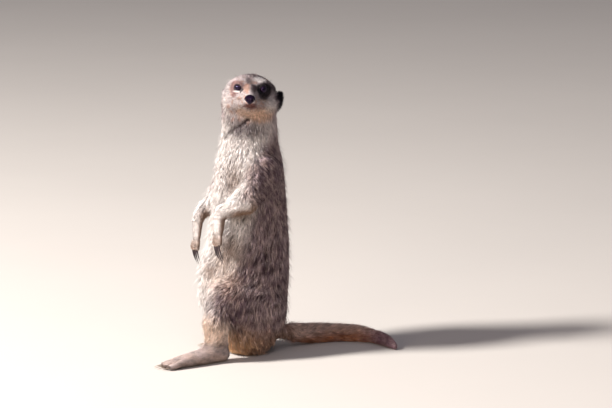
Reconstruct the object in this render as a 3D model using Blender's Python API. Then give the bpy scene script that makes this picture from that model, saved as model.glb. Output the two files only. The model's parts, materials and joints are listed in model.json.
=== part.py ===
"""A life-size, still model of a meerkat that sits upright and looks over its left shoulder.

The body is modelled whole, from the hulls of named balls of muscle, skull and fluff, and is then parted
with thin cuts into the pieces that a person would name. The outline is that of the coat's tips. Lengths
are in millimetres until they reach Blender. The hips face -Y, the animal's left is +X, and it rests on
flats at Z = 0.
"""

from collections import namedtuple
from math import cos, pi, radians, sin

import bmesh
import bpy
from mathutils import Euler, Matrix, Vector

MM = 0.001

# Driving dimensions, in millimetres and degrees.
GAP = 0.3  # between neighbouring pieces
FLOOR = 0.0
REACH = 200.0  # past the body on every side, for cutters
HEAD_CENTRE = (5.5, -0.2, 255.8)  # the middle of the skull
HEAD_YAW = 68.5  # from the way the hips face, to the animal's left
HEAD_PITCH = 8.0  # the muzzle is lifted by this much
HEAD_ROLL = -3.5  # the left ear is the lower one
EYE_RADIUS = 4.7
EYE_PLACE = (10.8, 18.9, 0.0)  # in the head's own frame: right, forward, up
EYE_GAZE = 25.0  # outward from straight ahead
JAW_BOX = (Vector((-14, 26, -40)), Vector((14, 60, -17.0)))  # in the head's frame, below the mouth
SOCKET_DEPTH = 3.0  # how far a claw's root sits in its toe
NUDGE = (0.011, 0.007, 0.013)
NUDGES = 9

# How finely the flesh is modelled, and the triangles that each group of pieces keeps.
VOXEL = 1.7
HEAD_VOXEL = 1.15
PAW_VOXEL = 0.95
CORE_TRIANGLES = 1190
HEAD_TRIANGLES = 900
HAND_TRIANGLES = 260
FOOT_TRIANGLES = 250
TAIL_TRIANGLES = 290
CUTTER_TRIANGLES = 64

Ball = namedtuple("Ball", "centre radii yaw")
Claw = namedtuple("Claw", "root out down length")


def ball(x, y, z, rx, ry=None, rz=None, yaw=0.0):
    """An ellipsoid of flesh: its centre, its three radii, and its turn about the vertical."""
    return Ball(Vector((x, y, z)), (rx, ry or rx, rz or rx), yaw)


def mirrored(one):
    """The ball's twin on the other side of the body."""
    return Ball(Vector((-one.centre.x, one.centre.y, one.centre.z)), one.radii, -one.yaw)


def grown(balls, by):
    """The same balls with every radius larger."""
    return [Ball(b.centre, tuple(r + by for r in b.radii), b.yaw) for b in balls]


# ------------------------------------------------------------------------------------------------
# Mesh helpers
# ------------------------------------------------------------------------------------------------


def new_object(name, bm):
    """A linked object that holds the mesh, whose coordinates are still in millimetres."""
    bmesh.ops.recalc_face_normals(bm, faces=bm.faces)
    bmesh.ops.scale(bm, vec=(MM, MM, MM), verts=bm.verts)
    mesh = bpy.data.meshes.new(name)
    bm.to_mesh(mesh)
    bm.free()
    made = bpy.data.objects.new(name, mesh)
    bpy.context.scene.collection.objects.link(made)
    return made


def hull(balls, frame=Matrix.Identity(4), subdivisions=3, name="hull"):
    """The tight skin over one or more balls, as one convex closed mesh."""
    spheres = bmesh.new()
    for one in balls:
        place = Matrix.Translation(one.centre) @ Matrix.Rotation(radians(one.yaw), 4, "Z")
        shape = place @ Matrix.Diagonal((*one.radii, 1.0))
        bmesh.ops.create_icosphere(spheres, subdivisions=subdivisions, radius=1.0, matrix=frame @ shape)
    points = [v.co.copy() for v in spheres.verts]
    spheres.free()
    bm = bmesh.new()
    for point in points:
        bm.verts.new(point)
    made = bmesh.ops.convex_hull(bm, input=bm.verts)
    inside = {v for v in made["geom_interior"] + made["geom_unused"] if isinstance(v, bmesh.types.BMVert)}
    bmesh.ops.delete(bm, geom=list(inside), context="VERTS")
    return new_object(name, bm)


def chain(balls, frame=Matrix.Identity(4)):
    """A hull over each ball and the next, which overlap at the balls they share."""
    return [hull(pair, frame) for pair in zip(balls, balls[1:])]


def box(low, high, turn=Matrix.Identity(4), name="box"):
    """A closed box between two corners, placed by a matrix."""
    bm = bmesh.new()
    low, high = Vector(low), Vector(high)
    shape = Matrix.Translation((low + high) / 2) @ Matrix.Diagonal((*(high - low), 1.0))
    bmesh.ops.create_cube(bm, size=1.0, matrix=turn @ shape)
    return new_object(name, bm)


def slab(low, high):
    """A wide flat box between two heights."""
    return box((-REACH, -REACH, low), (REACH, REACH, high))


def settle(obj):
    """Replaces the object's mesh by what its modifiers make of it."""
    graph = bpy.context.evaluated_depsgraph_get()
    mesh = bpy.data.meshes.new_from_object(obj.evaluated_get(graph))
    obj.modifiers.clear()
    obj.data = mesh
    return obj


def remove(*objects):
    for obj in objects:
        bpy.data.objects.remove(obj)


def fused(parts, voxel, rounds, factor=0.5, name="fused"):
    """The parts as one closed body, remeshed at the voxel size, with its creases rounded by smoothing."""
    bm = bmesh.new()
    for part in parts:
        bm.from_mesh(part.data)
    mesh = bpy.data.meshes.new(name)
    bm.to_mesh(mesh)
    bm.free()
    made = bpy.data.objects.new(name, mesh)
    bpy.context.scene.collection.objects.link(made)
    remesh = made.modifiers.new("remesh", "REMESH")
    remesh.mode = "VOXEL"
    remesh.voxel_size = voxel * MM
    if rounds:
        smooth = made.modifiers.new("smooth", "SMOOTH")
        smooth.factor = factor
        smooth.iterations = rounds
    remove(*parts)
    return settle(made)


def is_closed(obj):
    """Whether every edge has a face on either side and no more."""
    bm = bmesh.new()
    bm.from_mesh(obj.data)
    closed = all(len(edge.link_faces) == 2 for edge in bm.edges)
    bm.free()
    return closed


def boolean(obj, other, operation):
    """An exact cut. One that grazes a corner is made again with the cutter moved by a hair."""
    uncut = obj.data
    for _ in range(NUDGES):
        obj.data = uncut.copy()
        cut = obj.modifiers.new("cut", "BOOLEAN")
        cut.operation = operation
        cut.object = other
        cut.solver = "EXACT"
        if is_closed(settle(obj)):
            return obj
        other.data.transform(Matrix.Translation(Vector(NUDGE) * MM))
    raise RuntimeError(f"no clean cut of {obj.name}")


def copy_of(obj, name):
    made = bpy.data.objects.new(name, obj.data.copy())
    bpy.context.scene.collection.objects.link(made)
    return made


def widened(obj, by, name):
    """A copy of the object with its surface moved out by a distance."""
    made = copy_of(obj, name)
    displace = made.modifiers.new("widen", "DISPLACE")
    displace.strength = by * MM
    displace.mid_level = 0.0
    return settle(made)


def thinned(obj, triangles):
    """The object with its mesh simplified to about this many triangles."""
    obj.modifiers.new("triangulate", "TRIANGULATE")
    settle(obj)
    simplify = obj.modifiers.new("decimate", "DECIMATE")
    simplify.ratio = min(1.0, triangles / len(obj.data.polygons))
    return settle(obj)


def largest_island(obj):
    """Drops the small loose crumbs that a cut may leave beside the main body."""
    bm = bmesh.new()
    bm.from_mesh(obj.data)
    left = set(bm.verts)
    islands = []
    while left:
        front = [left.pop()]
        island = list(front)
        while front:
            near = {e.other_vert(v) for v in front for e in v.link_edges} & left
            left -= near
            front = list(near)
            island += front
        islands.append(island)
    islands.sort(key=len)
    for crumb in islands[:-1]:
        bmesh.ops.delete(bm, geom=crumb, context="VERTS")
    bm.to_mesh(obj.data)
    bm.free()
    return obj


def take(rest, name, inner, outer):
    """Parts a piece off: it is what lies in inner, and the larger outer clears the gap around it."""
    piece = boolean(copy_of(rest, name), inner, "INTERSECT")
    boolean(rest, outer, "DIFFERENCE")
    remove(inner, outer)
    return largest_island(piece)


def take_box(rest, name, low, high, turn=Matrix.Identity(4)):
    """Parts off what lies in a box, with plane cuts."""
    wider_low = Vector(low) - Vector((GAP, GAP, GAP))
    wider_high = Vector(high) + Vector((GAP, GAP, GAP))
    return take(rest, name, box(low, high, turn), box(wider_low, wider_high, turn))


def take_muscle(rest, name, balls):
    """Parts off a rounded muscle along the crease around it."""
    inner = thinned(hull(balls), CUTTER_TRIANGLES)
    return take(rest, name, inner, widened(inner, 1.2 * GAP, "outer"))


# ------------------------------------------------------------------------------------------------
# Trunk, neck and tail
# ------------------------------------------------------------------------------------------------

# From the seat to the nape, each level turned a little more to the left than the one below it.
SEAT = ball(0, -3, 16, 31, 29, 20)
PELVIS = ball(0, 0, 38, 37, 37, 36)
APRON = ball(4, -29, 60, 26, 22, 25)
BELLY = ball(0, -5, 80, 38, 45, 34)
WAIST = ball(0, -0.5, 114, 35.5, 40.5, 32, yaw=6)
CHEST = ball(0, 0.5, 150, 33, 37.5, 32, yaw=14)
SHOULDERS = ball(0, 0.7, 180, 33.5, 33.5, 26, yaw=22)
NECK_ROOT = ball(0, 0.7, 205, 28.5, 28.5, 20, yaw=35)
NECK = ball(1.5, 0.3, 224, 26.5, 26.5, 16, yaw=50)
TRUNK_COLUMN = (SEAT, PELVIS, BELLY, WAIST, CHEST, SHOULDERS, NECK_ROOT, NECK)

TAIL_ROOT_RADIUS = 10.5
TAIL_TIP_RADIUS = 3.6
TAIL_LIFT = 13.0  # of its root above the floor
TAIL_ROUTE = (  # along the floor, from inside the rump to the tip
    Vector((2, 24, 0)),
    Vector((-8, 52, 0)),
    Vector((-17, 82, 0)),
    Vector((-10, 111, 0)),
    Vector((14, 130, 0)),
    Vector((44, 133, 0)),
)
TAIL_BALLS = 14


def on_curve(points, share):
    """A point on the smooth curve through the points, at a share of its parts from 0 to 1."""
    last = len(points) - 1
    at = min(share * last, last - 1e-6)
    i = int(at)
    t = at - i
    p0, p1, p2, p3 = (points[min(max(k, 0), last)] for k in (i - 1, i, i + 1, i + 2))
    return 0.5 * (2 * p1 + (p2 - p0) * t + (2 * p0 - 5 * p1 + 4 * p2 - p3) * t * t
                  + (3 * p1 - p0 - 3 * p2 + p3) * t ** 3)


def tail_radius(share):
    """Thick at the root, even along the middle, and drawn out to a blunt tip."""
    body = TAIL_ROOT_RADIUS + (6.2 - TAIL_ROOT_RADIUS) * share
    tip = max(0.0, (share - 0.8) / 0.2)
    return body + (TAIL_TIP_RADIUS - 6.2) * tip ** 1.5


def tail_balls():
    """Balls along the tail that sink half a millimetre into the floor, for the flat that it lies on."""
    balls = []
    for i in range(TAIL_BALLS):
        share = i / (TAIL_BALLS - 1)
        radius = tail_radius(share)
        point = on_curve(TAIL_ROUTE, share)
        lift = TAIL_LIFT * max(0.0, 1 - 2 * share) ** 2
        balls.append(ball(point.x, point.y, FLOOR + radius - 0.7 + lift, radius))
    return balls


# ------------------------------------------------------------------------------------------------
# Arms and legs
# ------------------------------------------------------------------------------------------------

ARMS = {
    "left": {
        "shoulder": ball(31, 4, 176, 12.5, 18, 20, yaw=20),
        "elbow": ball(40, -17, 149, 8.5, 9.5, 7.8),
        "wrist": ball(27, -39.5, 143.5, 6.4, 6.6, 6.4),
        "web": (ball(33, -9, 168, 7.5, 8, 9), ball(29, -35, 149, 5.5), ball(39, -17, 151, 7)),
        "palm": ball(28.5, -42, 127, 7.2, 5.4, 9),
        "fingers": (Vector((29, -42.6, 120)), Vector((29.5, -44, 111.5))),
        "curl": 42,
    },
    "right": {
        "shoulder": ball(-31, -7, 176, 12, 16, 20, yaw=20),
        "elbow": ball(-40, -10, 149, 9, 10, 8.5),
        "wrist": ball(-24.5, -42.5, 132, 6.2, 6.0, 6.6),
        "web": (ball(-30, -18, 168, 6, 6.5, 8), ball(-26, -36, 139, 5.5), ball(-38, -14, 149, 7)),
        "palm": ball(-28, -43, 114, 7.0, 4.2, 10),
        "fingers": (Vector((-30, -43.2, 105.5)), Vector((-32, -43.4, 97))),
        "curl": 24,
    },
}
FINGER_SPREAD = 5.4
FINGER_RADIUS = 2.5
HAND_CLAW_LENGTH = 16.5
HAND_CLAW_RADIUS = 1.5

LEGS = {
    "left": {
        "hip": ball(22.5, 6, 46, 19, 22, 32),
        "knee": ball(29.5, -39, 60, 14, 16, 18),
        "shin": ball(30, -45.5, 36, 12, 13, 15),
        "ankle": ball(28, -44, 14, 9.5, 11.5, 10),
        "heel": ball(28, -37, 8, 7.5, 7, 8.6),
        "instep": ball(31, -59, 8, 8.5, 8, 7.5),
        "toe_root": ball(37, -85, 5.2, 10, 8, 5.8),
        "toe_way": Vector((0.16, -1, 0)),
    },
    "right": {
        "hip": ball(-22.5, 8, 46, 19, 22, 32),
        "knee": ball(-28.5, -20, 58, 14, 16, 17),
        "shin": ball(-29, 0, 34, 12, 15, 14),
        "ankle": ball(-28.5, 18, 14, 9.5, 11.5, 10),
        "heel": ball(-28.5, 27, 8, 7.5, 7, 8.6),
        "instep": ball(-30, 6, 8, 8.5, 8, 7.5),
        "toe_root": ball(-32, -16, 5.2, 10, 8, 5.8),
        "toe_way": Vector((-0.08, -1, 0)),
    },
}
TOE_LENGTH = 11.0
TOE_RADIUS = 3.2
FOOT_CLAW_LENGTH = 9.5
FOOT_CLAW_RADIUS = 1.35
FOOT_CLAW_CURL = 26
DIGITS = 4


def arm_parts(side):
    """Upper arm, the loose skin that fills the bend of the elbow, and the forearm down to the wrist."""
    arm = ARMS[side]
    return [*chain([arm["shoulder"], arm["elbow"], arm["wrist"]]), hull(arm["web"])]


def hand_digits(side):
    """For each finger: its knuckle, its tip, and its claw, which curls in towards the belly."""
    root, tips = ARMS[side]["fingers"]
    digits = []
    for i in range(DIGITS):
        across = (i - 1.5) / 1.5
        knuckle = root + Vector((FINGER_SPREAD * across, 0, 0))
        tip = tips + Vector((1.15 * FINGER_SPREAD * across, 0, 1.8 * across * across))
        out = (tip - knuckle + Vector((0, 1.0, 0))).normalized()
        digits.append((knuckle, tip, Claw(tip, out, Vector((0, 1, 0)), HAND_CLAW_LENGTH)))
    return digits


def foot_digits(side):
    """For each toe: its knuckle, its tip, and its claw, which reaches forward along the floor."""
    leg = LEGS[side]
    root, way = leg["toe_root"].centre, leg["toe_way"].normalized()
    across_way = Vector((-way.y, way.x, 0))
    digits = []
    for i in range(DIGITS):
        across = (i - 1.5) / 1.5
        reach = TOE_LENGTH - 2.6 * across * across
        knuckle = root + across_way * 6.6 * across + way * 5 + Vector((0, 0, -1.0))
        tip = knuckle + way * reach + across_way * 1.0 * across
        tip.z = TOE_RADIUS - 0.4
        claw_way = (way + across_way * 0.08 * across + Vector((0, 0, 0.10))).normalized()
        digits.append((knuckle, tip, Claw(tip, claw_way, Vector((0, 0, -1)), FOOT_CLAW_LENGTH)))
    return digits


def hand_parts(side, by=0.0):
    """Wrist, palm and fingers, with every radius larger by the given amount."""
    arm = ARMS[side]
    parts = chain(grown([arm["elbow"], arm["wrist"], arm["palm"]], by))
    for knuckle, tip, _ in hand_digits(side):
        parts.append(hull([ball(*knuckle, FINGER_RADIUS + 0.5 + by), ball(*tip, FINGER_RADIUS + by)]))
    return parts


def foot_parts(side, by=0.0):
    """Ankle, heel, sole and toes, with every radius larger by the given amount."""
    leg = LEGS[side]
    parts = chain(grown([leg["shin"], leg["ankle"], leg["heel"], leg["toe_root"]], by))
    parts += chain(grown([leg["ankle"], leg["instep"], leg["toe_root"]], by))
    for knuckle, tip, _ in foot_digits(side):
        parts.append(hull([ball(*knuckle, TOE_RADIUS + 0.7 + by), ball(*tip, TOE_RADIUS + by)]))
    return parts


def leg_parts(side):
    leg = LEGS[side]
    return chain([leg["hip"], leg["knee"], leg["shin"], leg["ankle"]])


# ------------------------------------------------------------------------------------------------
# Head, in its own frame: +X right, +Y forward, +Z up, with the eyes level with its origin
# ------------------------------------------------------------------------------------------------


def head_frame():
    yaw = Matrix.Rotation(radians(HEAD_YAW - 180), 4, "Z")
    face = yaw @ Euler((radians(HEAD_PITCH), radians(HEAD_ROLL), 0)).to_matrix().to_4x4()
    return Matrix.Translation(Vector(HEAD_CENTRE)) @ face


def both_sides(*balls):
    return [list(balls), [mirrored(b) for b in balls]]


def head_parts():
    """Skull, brow, cheeks, muzzle and chin, and the ruff that runs down into the neck."""
    frame = head_frame()
    gaze = Vector((sin(radians(EYE_GAZE)), cos(radians(EYE_GAZE)), 0))
    orbit = Vector(EYE_PLACE) - gaze * 1.6
    middle = [
        [ball(0, -3, -4, 24.5, 25, 19)],
        [ball(0, 6, -6, 22.5, 20, 15.5), ball(0, -12, -7, 22.5, 19, 16)],
        [ball(0, -4, -19, 27.5, 23, 16), ball(0, -6, -32, 26.5, 24, 17)],
        [ball(0, 18, -6, 12.5, 9, 11.5), ball(0, 39.0, -10.6, 6.4, 5.4, 5.8)],
        [ball(0, 24, -1, 7, 7, 6), ball(0, 39.5, -8.4, 4.2, 4, 3.2)],
        [ball(0, 34, -16.8, 5.6, 5.0, 4.0), ball(0, 14, -20, 14, 9, 8)],
    ]
    paired = [
        *both_sides(ball(11.5, 13.5, 4.4, 7.5, 6.5, 4.6), ball(16.4, 2, -1.5, 8.4, 10, 9.5)),
        *both_sides(ball(14, 12, -14, 11, 11, 10), ball(17, 0, -16, 11, 12, 12)),
        *both_sides(ball(3.4, 35.5, -13.2, 4.6, 6.3, 4.8), ball(9, 24, -14.0, 7.5, 9, 7.5)),
        *both_sides(ball(*orbit, EYE_RADIUS + 1.5)),
    ]
    return [hull(group, frame) for group in middle + paired]


EYE_SIDES = 12
EYE_RINGS = 7
EARS = {  # place in the head's frame, and how far the back edge stands out
    "left": ((27.0, -6.5, -10.5), 24),
    "right": ((24.8, -8.5, -10.5), 6),
}
EAR_TRIANGLES = 110


def eye(side_sign, grow=0.0):
    """The eyeball, an upright ball in the head's frame."""
    x, y, z = EYE_PLACE
    bm = bmesh.new()
    place = head_frame() @ Matrix.Translation((side_sign * x, y, z)) @ Matrix.Rotation(pi / 2, 4, "X")
    size = EYE_RADIUS + grow
    bmesh.ops.create_uvsphere(bm, u_segments=EYE_SIDES, v_segments=EYE_RINGS, radius=size, matrix=place)
    return new_object("eye", bm)


def nose(grow=0.0):
    """The bare nose: a broad pad on the muzzle's end, with a narrower lower edge."""
    balls = [
        ball(0, 44.4, -8.6, 3.7, 3.2, 2.2),
        ball(2.4, 44.0, -10.3, 2.8, 3.0, 2.5),
        ball(-2.4, 44.0, -10.3, 2.8, 3.0, 2.5),
        ball(0, 43.4, -12.6, 1.7, 2.2, 1.5),
    ]
    return hull(grown(balls, grow), head_frame(), subdivisions=2, name="nose")


def ear(side):
    """A low crescent of an ear: a thin shell whose back edge stands out, hollowed on its outer face."""
    (x, y, z), flare = EARS[side]
    sign = -1 if side == "left" else 1
    spread = Matrix.Rotation(radians(-flare * sign), 4, "Z")
    droop = Matrix.Rotation(radians(flare * sign / 2), 4, "Y")
    place = head_frame() @ Matrix.Translation((sign * x, y, z)) @ spread @ droop
    flap = [ball(0, 0, 0, 3.4, 7.6, 9.8), ball(0, -2.0, -2.5, 3.4, 6.2, 7.2)]
    shell = hull(flap, place, name=f"ear_{side}")
    bowl = hull([ball(4.0 * sign, 1.8, 0.5, 3.9, 5.8, 7.4)], place, subdivisions=2)
    thinned(shell, EAR_TRIANGLES)
    thinned(bowl, EAR_TRIANGLES)
    boolean(shell, bowl, "DIFFERENCE")
    remove(bowl)
    return shell


# ------------------------------------------------------------------------------------------------
# Claws
# ------------------------------------------------------------------------------------------------

CLAW_RINGS = 5
CLAW_SIDES = 5
CLAW_TIP_RADIUS = 0.32
CLAW_THINNESS = 0.72  # of its width to its depth
SOCKET_SIDES = 8


def claw(spec, root_radius, curl, name):
    """A claw that starts inside its digit and bends through an arc, tapering to a blunt point."""
    bm = bmesh.new()
    side = spec.out.cross(spec.down).normalized()
    down = side.cross(spec.out).normalized()
    point = spec.root - spec.out * SOCKET_DEPTH
    way = 0.0
    rings = []
    step = (spec.length + SOCKET_DEPTH) / CLAW_RINGS
    for i in range(CLAW_RINGS + 1):
        share = i / CLAW_RINGS
        radius = root_radius + (CLAW_TIP_RADIUS - root_radius) * share ** 1.25
        forward = spec.out * cos(way) + down * sin(way)
        up = side.cross(forward)
        ring = []
        for k in range(CLAW_SIDES):
            around = 2 * pi * k / CLAW_SIDES
            across = side * (CLAW_THINNESS * radius * cos(around))
            ring.append(bm.verts.new(point + across + up * (radius * sin(around))))
        rings.append(ring)
        point = point + forward * step
        way += radians(curl) / CLAW_RINGS
    for ring, following in zip(rings, rings[1:]):
        for k in range(CLAW_SIDES):
            after = (k + 1) % CLAW_SIDES
            bm.faces.new((ring[k], ring[after], following[after], following[k]))
    bm.faces.new(list(reversed(rings[0])))
    bm.faces.new(rings[-1])
    return new_object(name, bm)


def claw_socket(spec, root_radius):
    """The cutter for the claw's root: a short tube a gap wider than the claw and a gap deeper."""
    wall = root_radius + 1.3 * GAP
    deep = spec.root - spec.out * (SOCKET_DEPTH + GAP)
    open_end = spec.root + spec.out * (3.2 * SOCKET_DEPTH)
    bm = bmesh.new()
    turn = spec.out.to_track_quat("Z", "Y").to_matrix().to_4x4()
    place = Matrix.Translation((deep + open_end) / 2) @ turn
    length = (open_end - deep).length
    tube = {"segments": SOCKET_SIDES, "radius1": wall, "radius2": wall, "depth": length}
    bmesh.ops.create_cone(bm, cap_ends=True, matrix=place, **tube)
    return new_object("socket", bm)


def set_claws(paw, specs, root_radius, curl, prefix):
    """Bores each claw's socket in the paw and sets the claw in it."""
    claws = []
    for i, spec in enumerate(specs):
        socket = claw_socket(spec, root_radius)
        boolean(paw, socket, "DIFFERENCE")
        remove(socket)
        claws.append(claw(spec, root_radius, curl, f"{prefix}_{i + 1}"))
    largest_island(paw)
    return claws


# ------------------------------------------------------------------------------------------------
# Finishes
# ------------------------------------------------------------------------------------------------

FINISHES = {  # colour, roughness
    "coat_back": ((0.36, 0.29, 0.23), 0.85),
    "coat_pale": ((0.72, 0.64, 0.53), 0.85),
    "coat_dark": ((0.05, 0.04, 0.035), 0.8),
    "coat_tail": ((0.45, 0.33, 0.22), 0.85),
    "eye": ((0.03, 0.02, 0.015), 0.1),
    "bare_nose": ((0.06, 0.04, 0.035), 0.35),
    "claw": ((0.10, 0.075, 0.06), 0.35),
}


def finish(obj, slot, smooth_angle=40):
    material = bpy.data.materials.get(slot)
    if material is None:
        colour, roughness = FINISHES[slot]
        material = bpy.data.materials.new(slot)
        material.use_nodes = True
        shader = material.node_tree.nodes["Principled BSDF"]
        shader.inputs["Base Color"].default_value = (*colour, 1.0)
        shader.inputs["Roughness"].default_value = roughness
        shader.inputs["Metallic"].default_value = 0.0
    obj.data.materials.clear()
    obj.data.materials.append(material)
    obj.data.shade_smooth()
    obj.data.set_sharp_from_angle(angle=radians(smooth_angle))


# ------------------------------------------------------------------------------------------------
# Assembly
# ------------------------------------------------------------------------------------------------

NECK_TOP = 226.0
NECK_FOOT = 203.0
WRIST_DROP = 4.0  # from the middle of the wrist down to the cut that parts off the hand
WRIST_BACK = 5.5  # from the middle of the wrist back to the same cut
ANKLE_CUT = 18.0
TAIL_START = 44.0
TAIL_ROOT_TOP = 60.0  # above the tail where it leaves the rump
TAIL_MIDDLE = 84.0
TAIL_END = 12.0  # the last length lies to the left of this
PAW_ROOM = 0.9  # what a paw's cutter is larger by, before its smoothing


def trim_to_floor(obj):
    """Cuts the resting flats at floor level."""
    below = slab(FLOOR - REACH, FLOOR)
    boolean(obj, below, "DIFFERENCE")
    remove(below)
    return obj


def build_core():
    """Trunk, neck, head, arms to the wrist and legs to the ankle, as one fused body."""
    flesh = chain(TRUNK_COLUMN) + chain([APRON, BELLY]) + head_parts()
    for side in ("left", "right"):
        flesh += arm_parts(side) + leg_parts(side)
    flesh += chain(tail_balls()[:4])
    return thinned(fused(flesh, VOXEL, rounds=9), CORE_TRIANGLES)


def build_head():
    """The head, with its sockets for eyes and nose, down to the plane that parts it from the neck."""
    head = fused(head_parts() + chain(TRUNK_COLUMN[-2:]), HEAD_VOXEL, rounds=7, name="head")
    thinned(head, HEAD_TRIANGLES)
    under = slab(FLOOR, NECK_TOP)
    boolean(head, under, "DIFFERENCE")
    remove(under)
    for cutter in (eye(1, GAP), eye(-1, GAP), nose(GAP)):
        boolean(head, cutter, "DIFFERENCE")
        remove(cutter)
    return largest_island(head)


def face_parts(head):
    """Eyes, ears, nose and lower jaw, with their room taken out of the head."""
    made = []
    for side, sign in (("left", -1), ("right", 1)):
        ball_of_eye = eye(sign)
        ball_of_eye.name = f"eye_{side}"
        flap = ear(side)
        room = widened(flap, 1.3 * GAP, "ear_room")
        boolean(head, room, "DIFFERENCE")
        remove(room)
        made += [ball_of_eye, flap]
    largest_island(head)
    return [*made, nose(), take_box(head, "lower_jaw", *JAW_BOX, head_frame())]


def paw_parts(side, kind, by=0.0):
    return hand_parts(side, by) if kind == "hand" else foot_parts(side, by)


def paw_box(side, kind, by=0.0):
    """What lies below the cut through the wrist or the ankle, and above the floor."""
    if kind == "hand":
        wrist = ARMS[side]["wrist"].centre
        low = (wrist.x - 20, wrist.y - 20, wrist.z - 80)
        high = (wrist.x + 20, wrist.y + WRIST_BACK + by, wrist.z - WRIST_DROP + by)
        return box(low, high)
    return slab(FLOOR - 5 * by, ANKLE_CUT + by)


def build_paw(side, kind, triangles):
    """A hand or foot: fused finely and cut at the wrist or ankle."""
    paw = fused(paw_parts(side, kind), PAW_VOXEL, rounds=3, name=f"{kind}_{side}")
    thinned(paw, triangles)
    keep = paw_box(side, kind)
    boolean(paw, keep, "INTERSECT")
    remove(keep)
    return largest_island(paw)


def clear_paw(core, side, kind):
    """Takes the room of a hand or foot, with the gap around it, out of the core."""
    room = fused(paw_parts(side, kind, PAW_ROOM), VOXEL, rounds=2)
    thinned(room, 2 * CUTTER_TRIANGLES)
    keep = paw_box(side, kind, GAP)
    boolean(room, keep, "INTERSECT")
    boolean(core, room, "DIFFERENCE")
    remove(keep, room)


def build_tail():
    """The tail past the rump, in three lengths."""
    tail = fused(chain(tail_balls()), VOXEL * 0.8, rounds=4, name="tail")
    thinned(tail, TAIL_TRIANGLES)
    trim_to_floor(tail)
    before = box((-REACH, -REACH, -REACH), (REACH, TAIL_START, REACH))
    boolean(tail, before, "DIFFERENCE")
    remove(before)
    root = take_box(tail, "tail_root", (-REACH, 0, -REACH), (REACH, TAIL_MIDDLE, REACH))
    tip = take_box(tail, "tail_tip", (TAIL_END, 0, -REACH), (REACH, REACH, REACH))
    tail.name = "tail_middle"
    return [root, tail, tip]


def cut_core(core):
    """Parts the core into trunk, neck, arms and legs."""
    above = slab(NECK_TOP - GAP, NECK_TOP + REACH)
    boolean(core, above, "DIFFERENCE")
    behind = box((-REACH, TAIL_START - GAP, -REACH), (REACH, REACH, TAIL_ROOT_TOP))
    boolean(core, behind, "DIFFERENCE")
    remove(above, behind)
    trim_to_floor(core)
    for side in ("left", "right"):
        for kind in ("hand", "foot"):
            clear_paw(core, side, kind)
    largest_island(core)
    pieces = [take_box(core, "neck", (-REACH, -REACH, NECK_FOOT), (REACH, REACH, NECK_TOP + REACH))]
    for side in ("left", "right"):
        arm, leg = ARMS[side], LEGS[side]
        pieces.append(take_muscle(core, f"forearm_{side}", grown([arm["elbow"], arm["wrist"]], 1.5)))
        pieces.append(take_muscle(core, f"upper_arm_{side}", grown([arm["shoulder"], arm["elbow"]], 0.8)))
        pieces.append(take_muscle(core, f"shin_{side}", grown([leg["shin"], leg["ankle"]], 1.2)))
        pieces.append(take_muscle(core, f"thigh_{side}", grown([leg["hip"], leg["knee"]], 0.8)))
    largest_island(core)
    core.name = "trunk"
    return [core, *pieces]


def build_paws():
    made = []
    for side in ("left", "right"):
        hand = build_paw(side, "hand", HAND_TRIANGLES)
        claws = [c for _, _, c in hand_digits(side)]
        curl = ARMS[side]["curl"]
        made += [hand, *set_claws(hand, claws, HAND_CLAW_RADIUS, curl, f"claw_hand_{side}")]
        foot = build_paw(side, "foot", FOOT_TRIANGLES)
        claws = [c for _, _, c in foot_digits(side)]
        made += [foot, *set_claws(foot, claws, FOOT_CLAW_RADIUS, FOOT_CLAW_CURL, f"claw_foot_{side}")]
    return made


def slot_of(name):
    """Which finish a piece has."""
    if name.startswith("claw"):
        return "claw"
    if name.startswith("ear") or name == "tail_tip":
        return "coat_dark"
    if name.startswith("eye"):
        return "eye"
    if name == "nose":
        return "bare_nose"
    if name.startswith("tail"):
        return "coat_tail"
    if name.startswith(("head", "neck", "hand", "foot", "forearm")):
        return "coat_pale"
    return "coat_back"


def main():
    for obj in list(bpy.data.objects):
        bpy.data.objects.remove(obj)
    head = build_head()
    pieces = [head, *face_parts(head)]
    pieces += cut_core(build_core())
    pieces += build_paws()
    pieces += build_tail()
    for piece in pieces:
        finish(piece, slot_of(piece.name))
        piece.data.name = piece.name


main()
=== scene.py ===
"""Skin, coat, eyes, nose, claws and whiskers of a still, life-size meerkat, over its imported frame.

One skin replaces the pieces of flesh and lies inside them by the depth of the coat. The coat is tufts of
solid hair that follow the lie of the fur. Lengths in the settings are in millimetres.
"""

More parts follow.
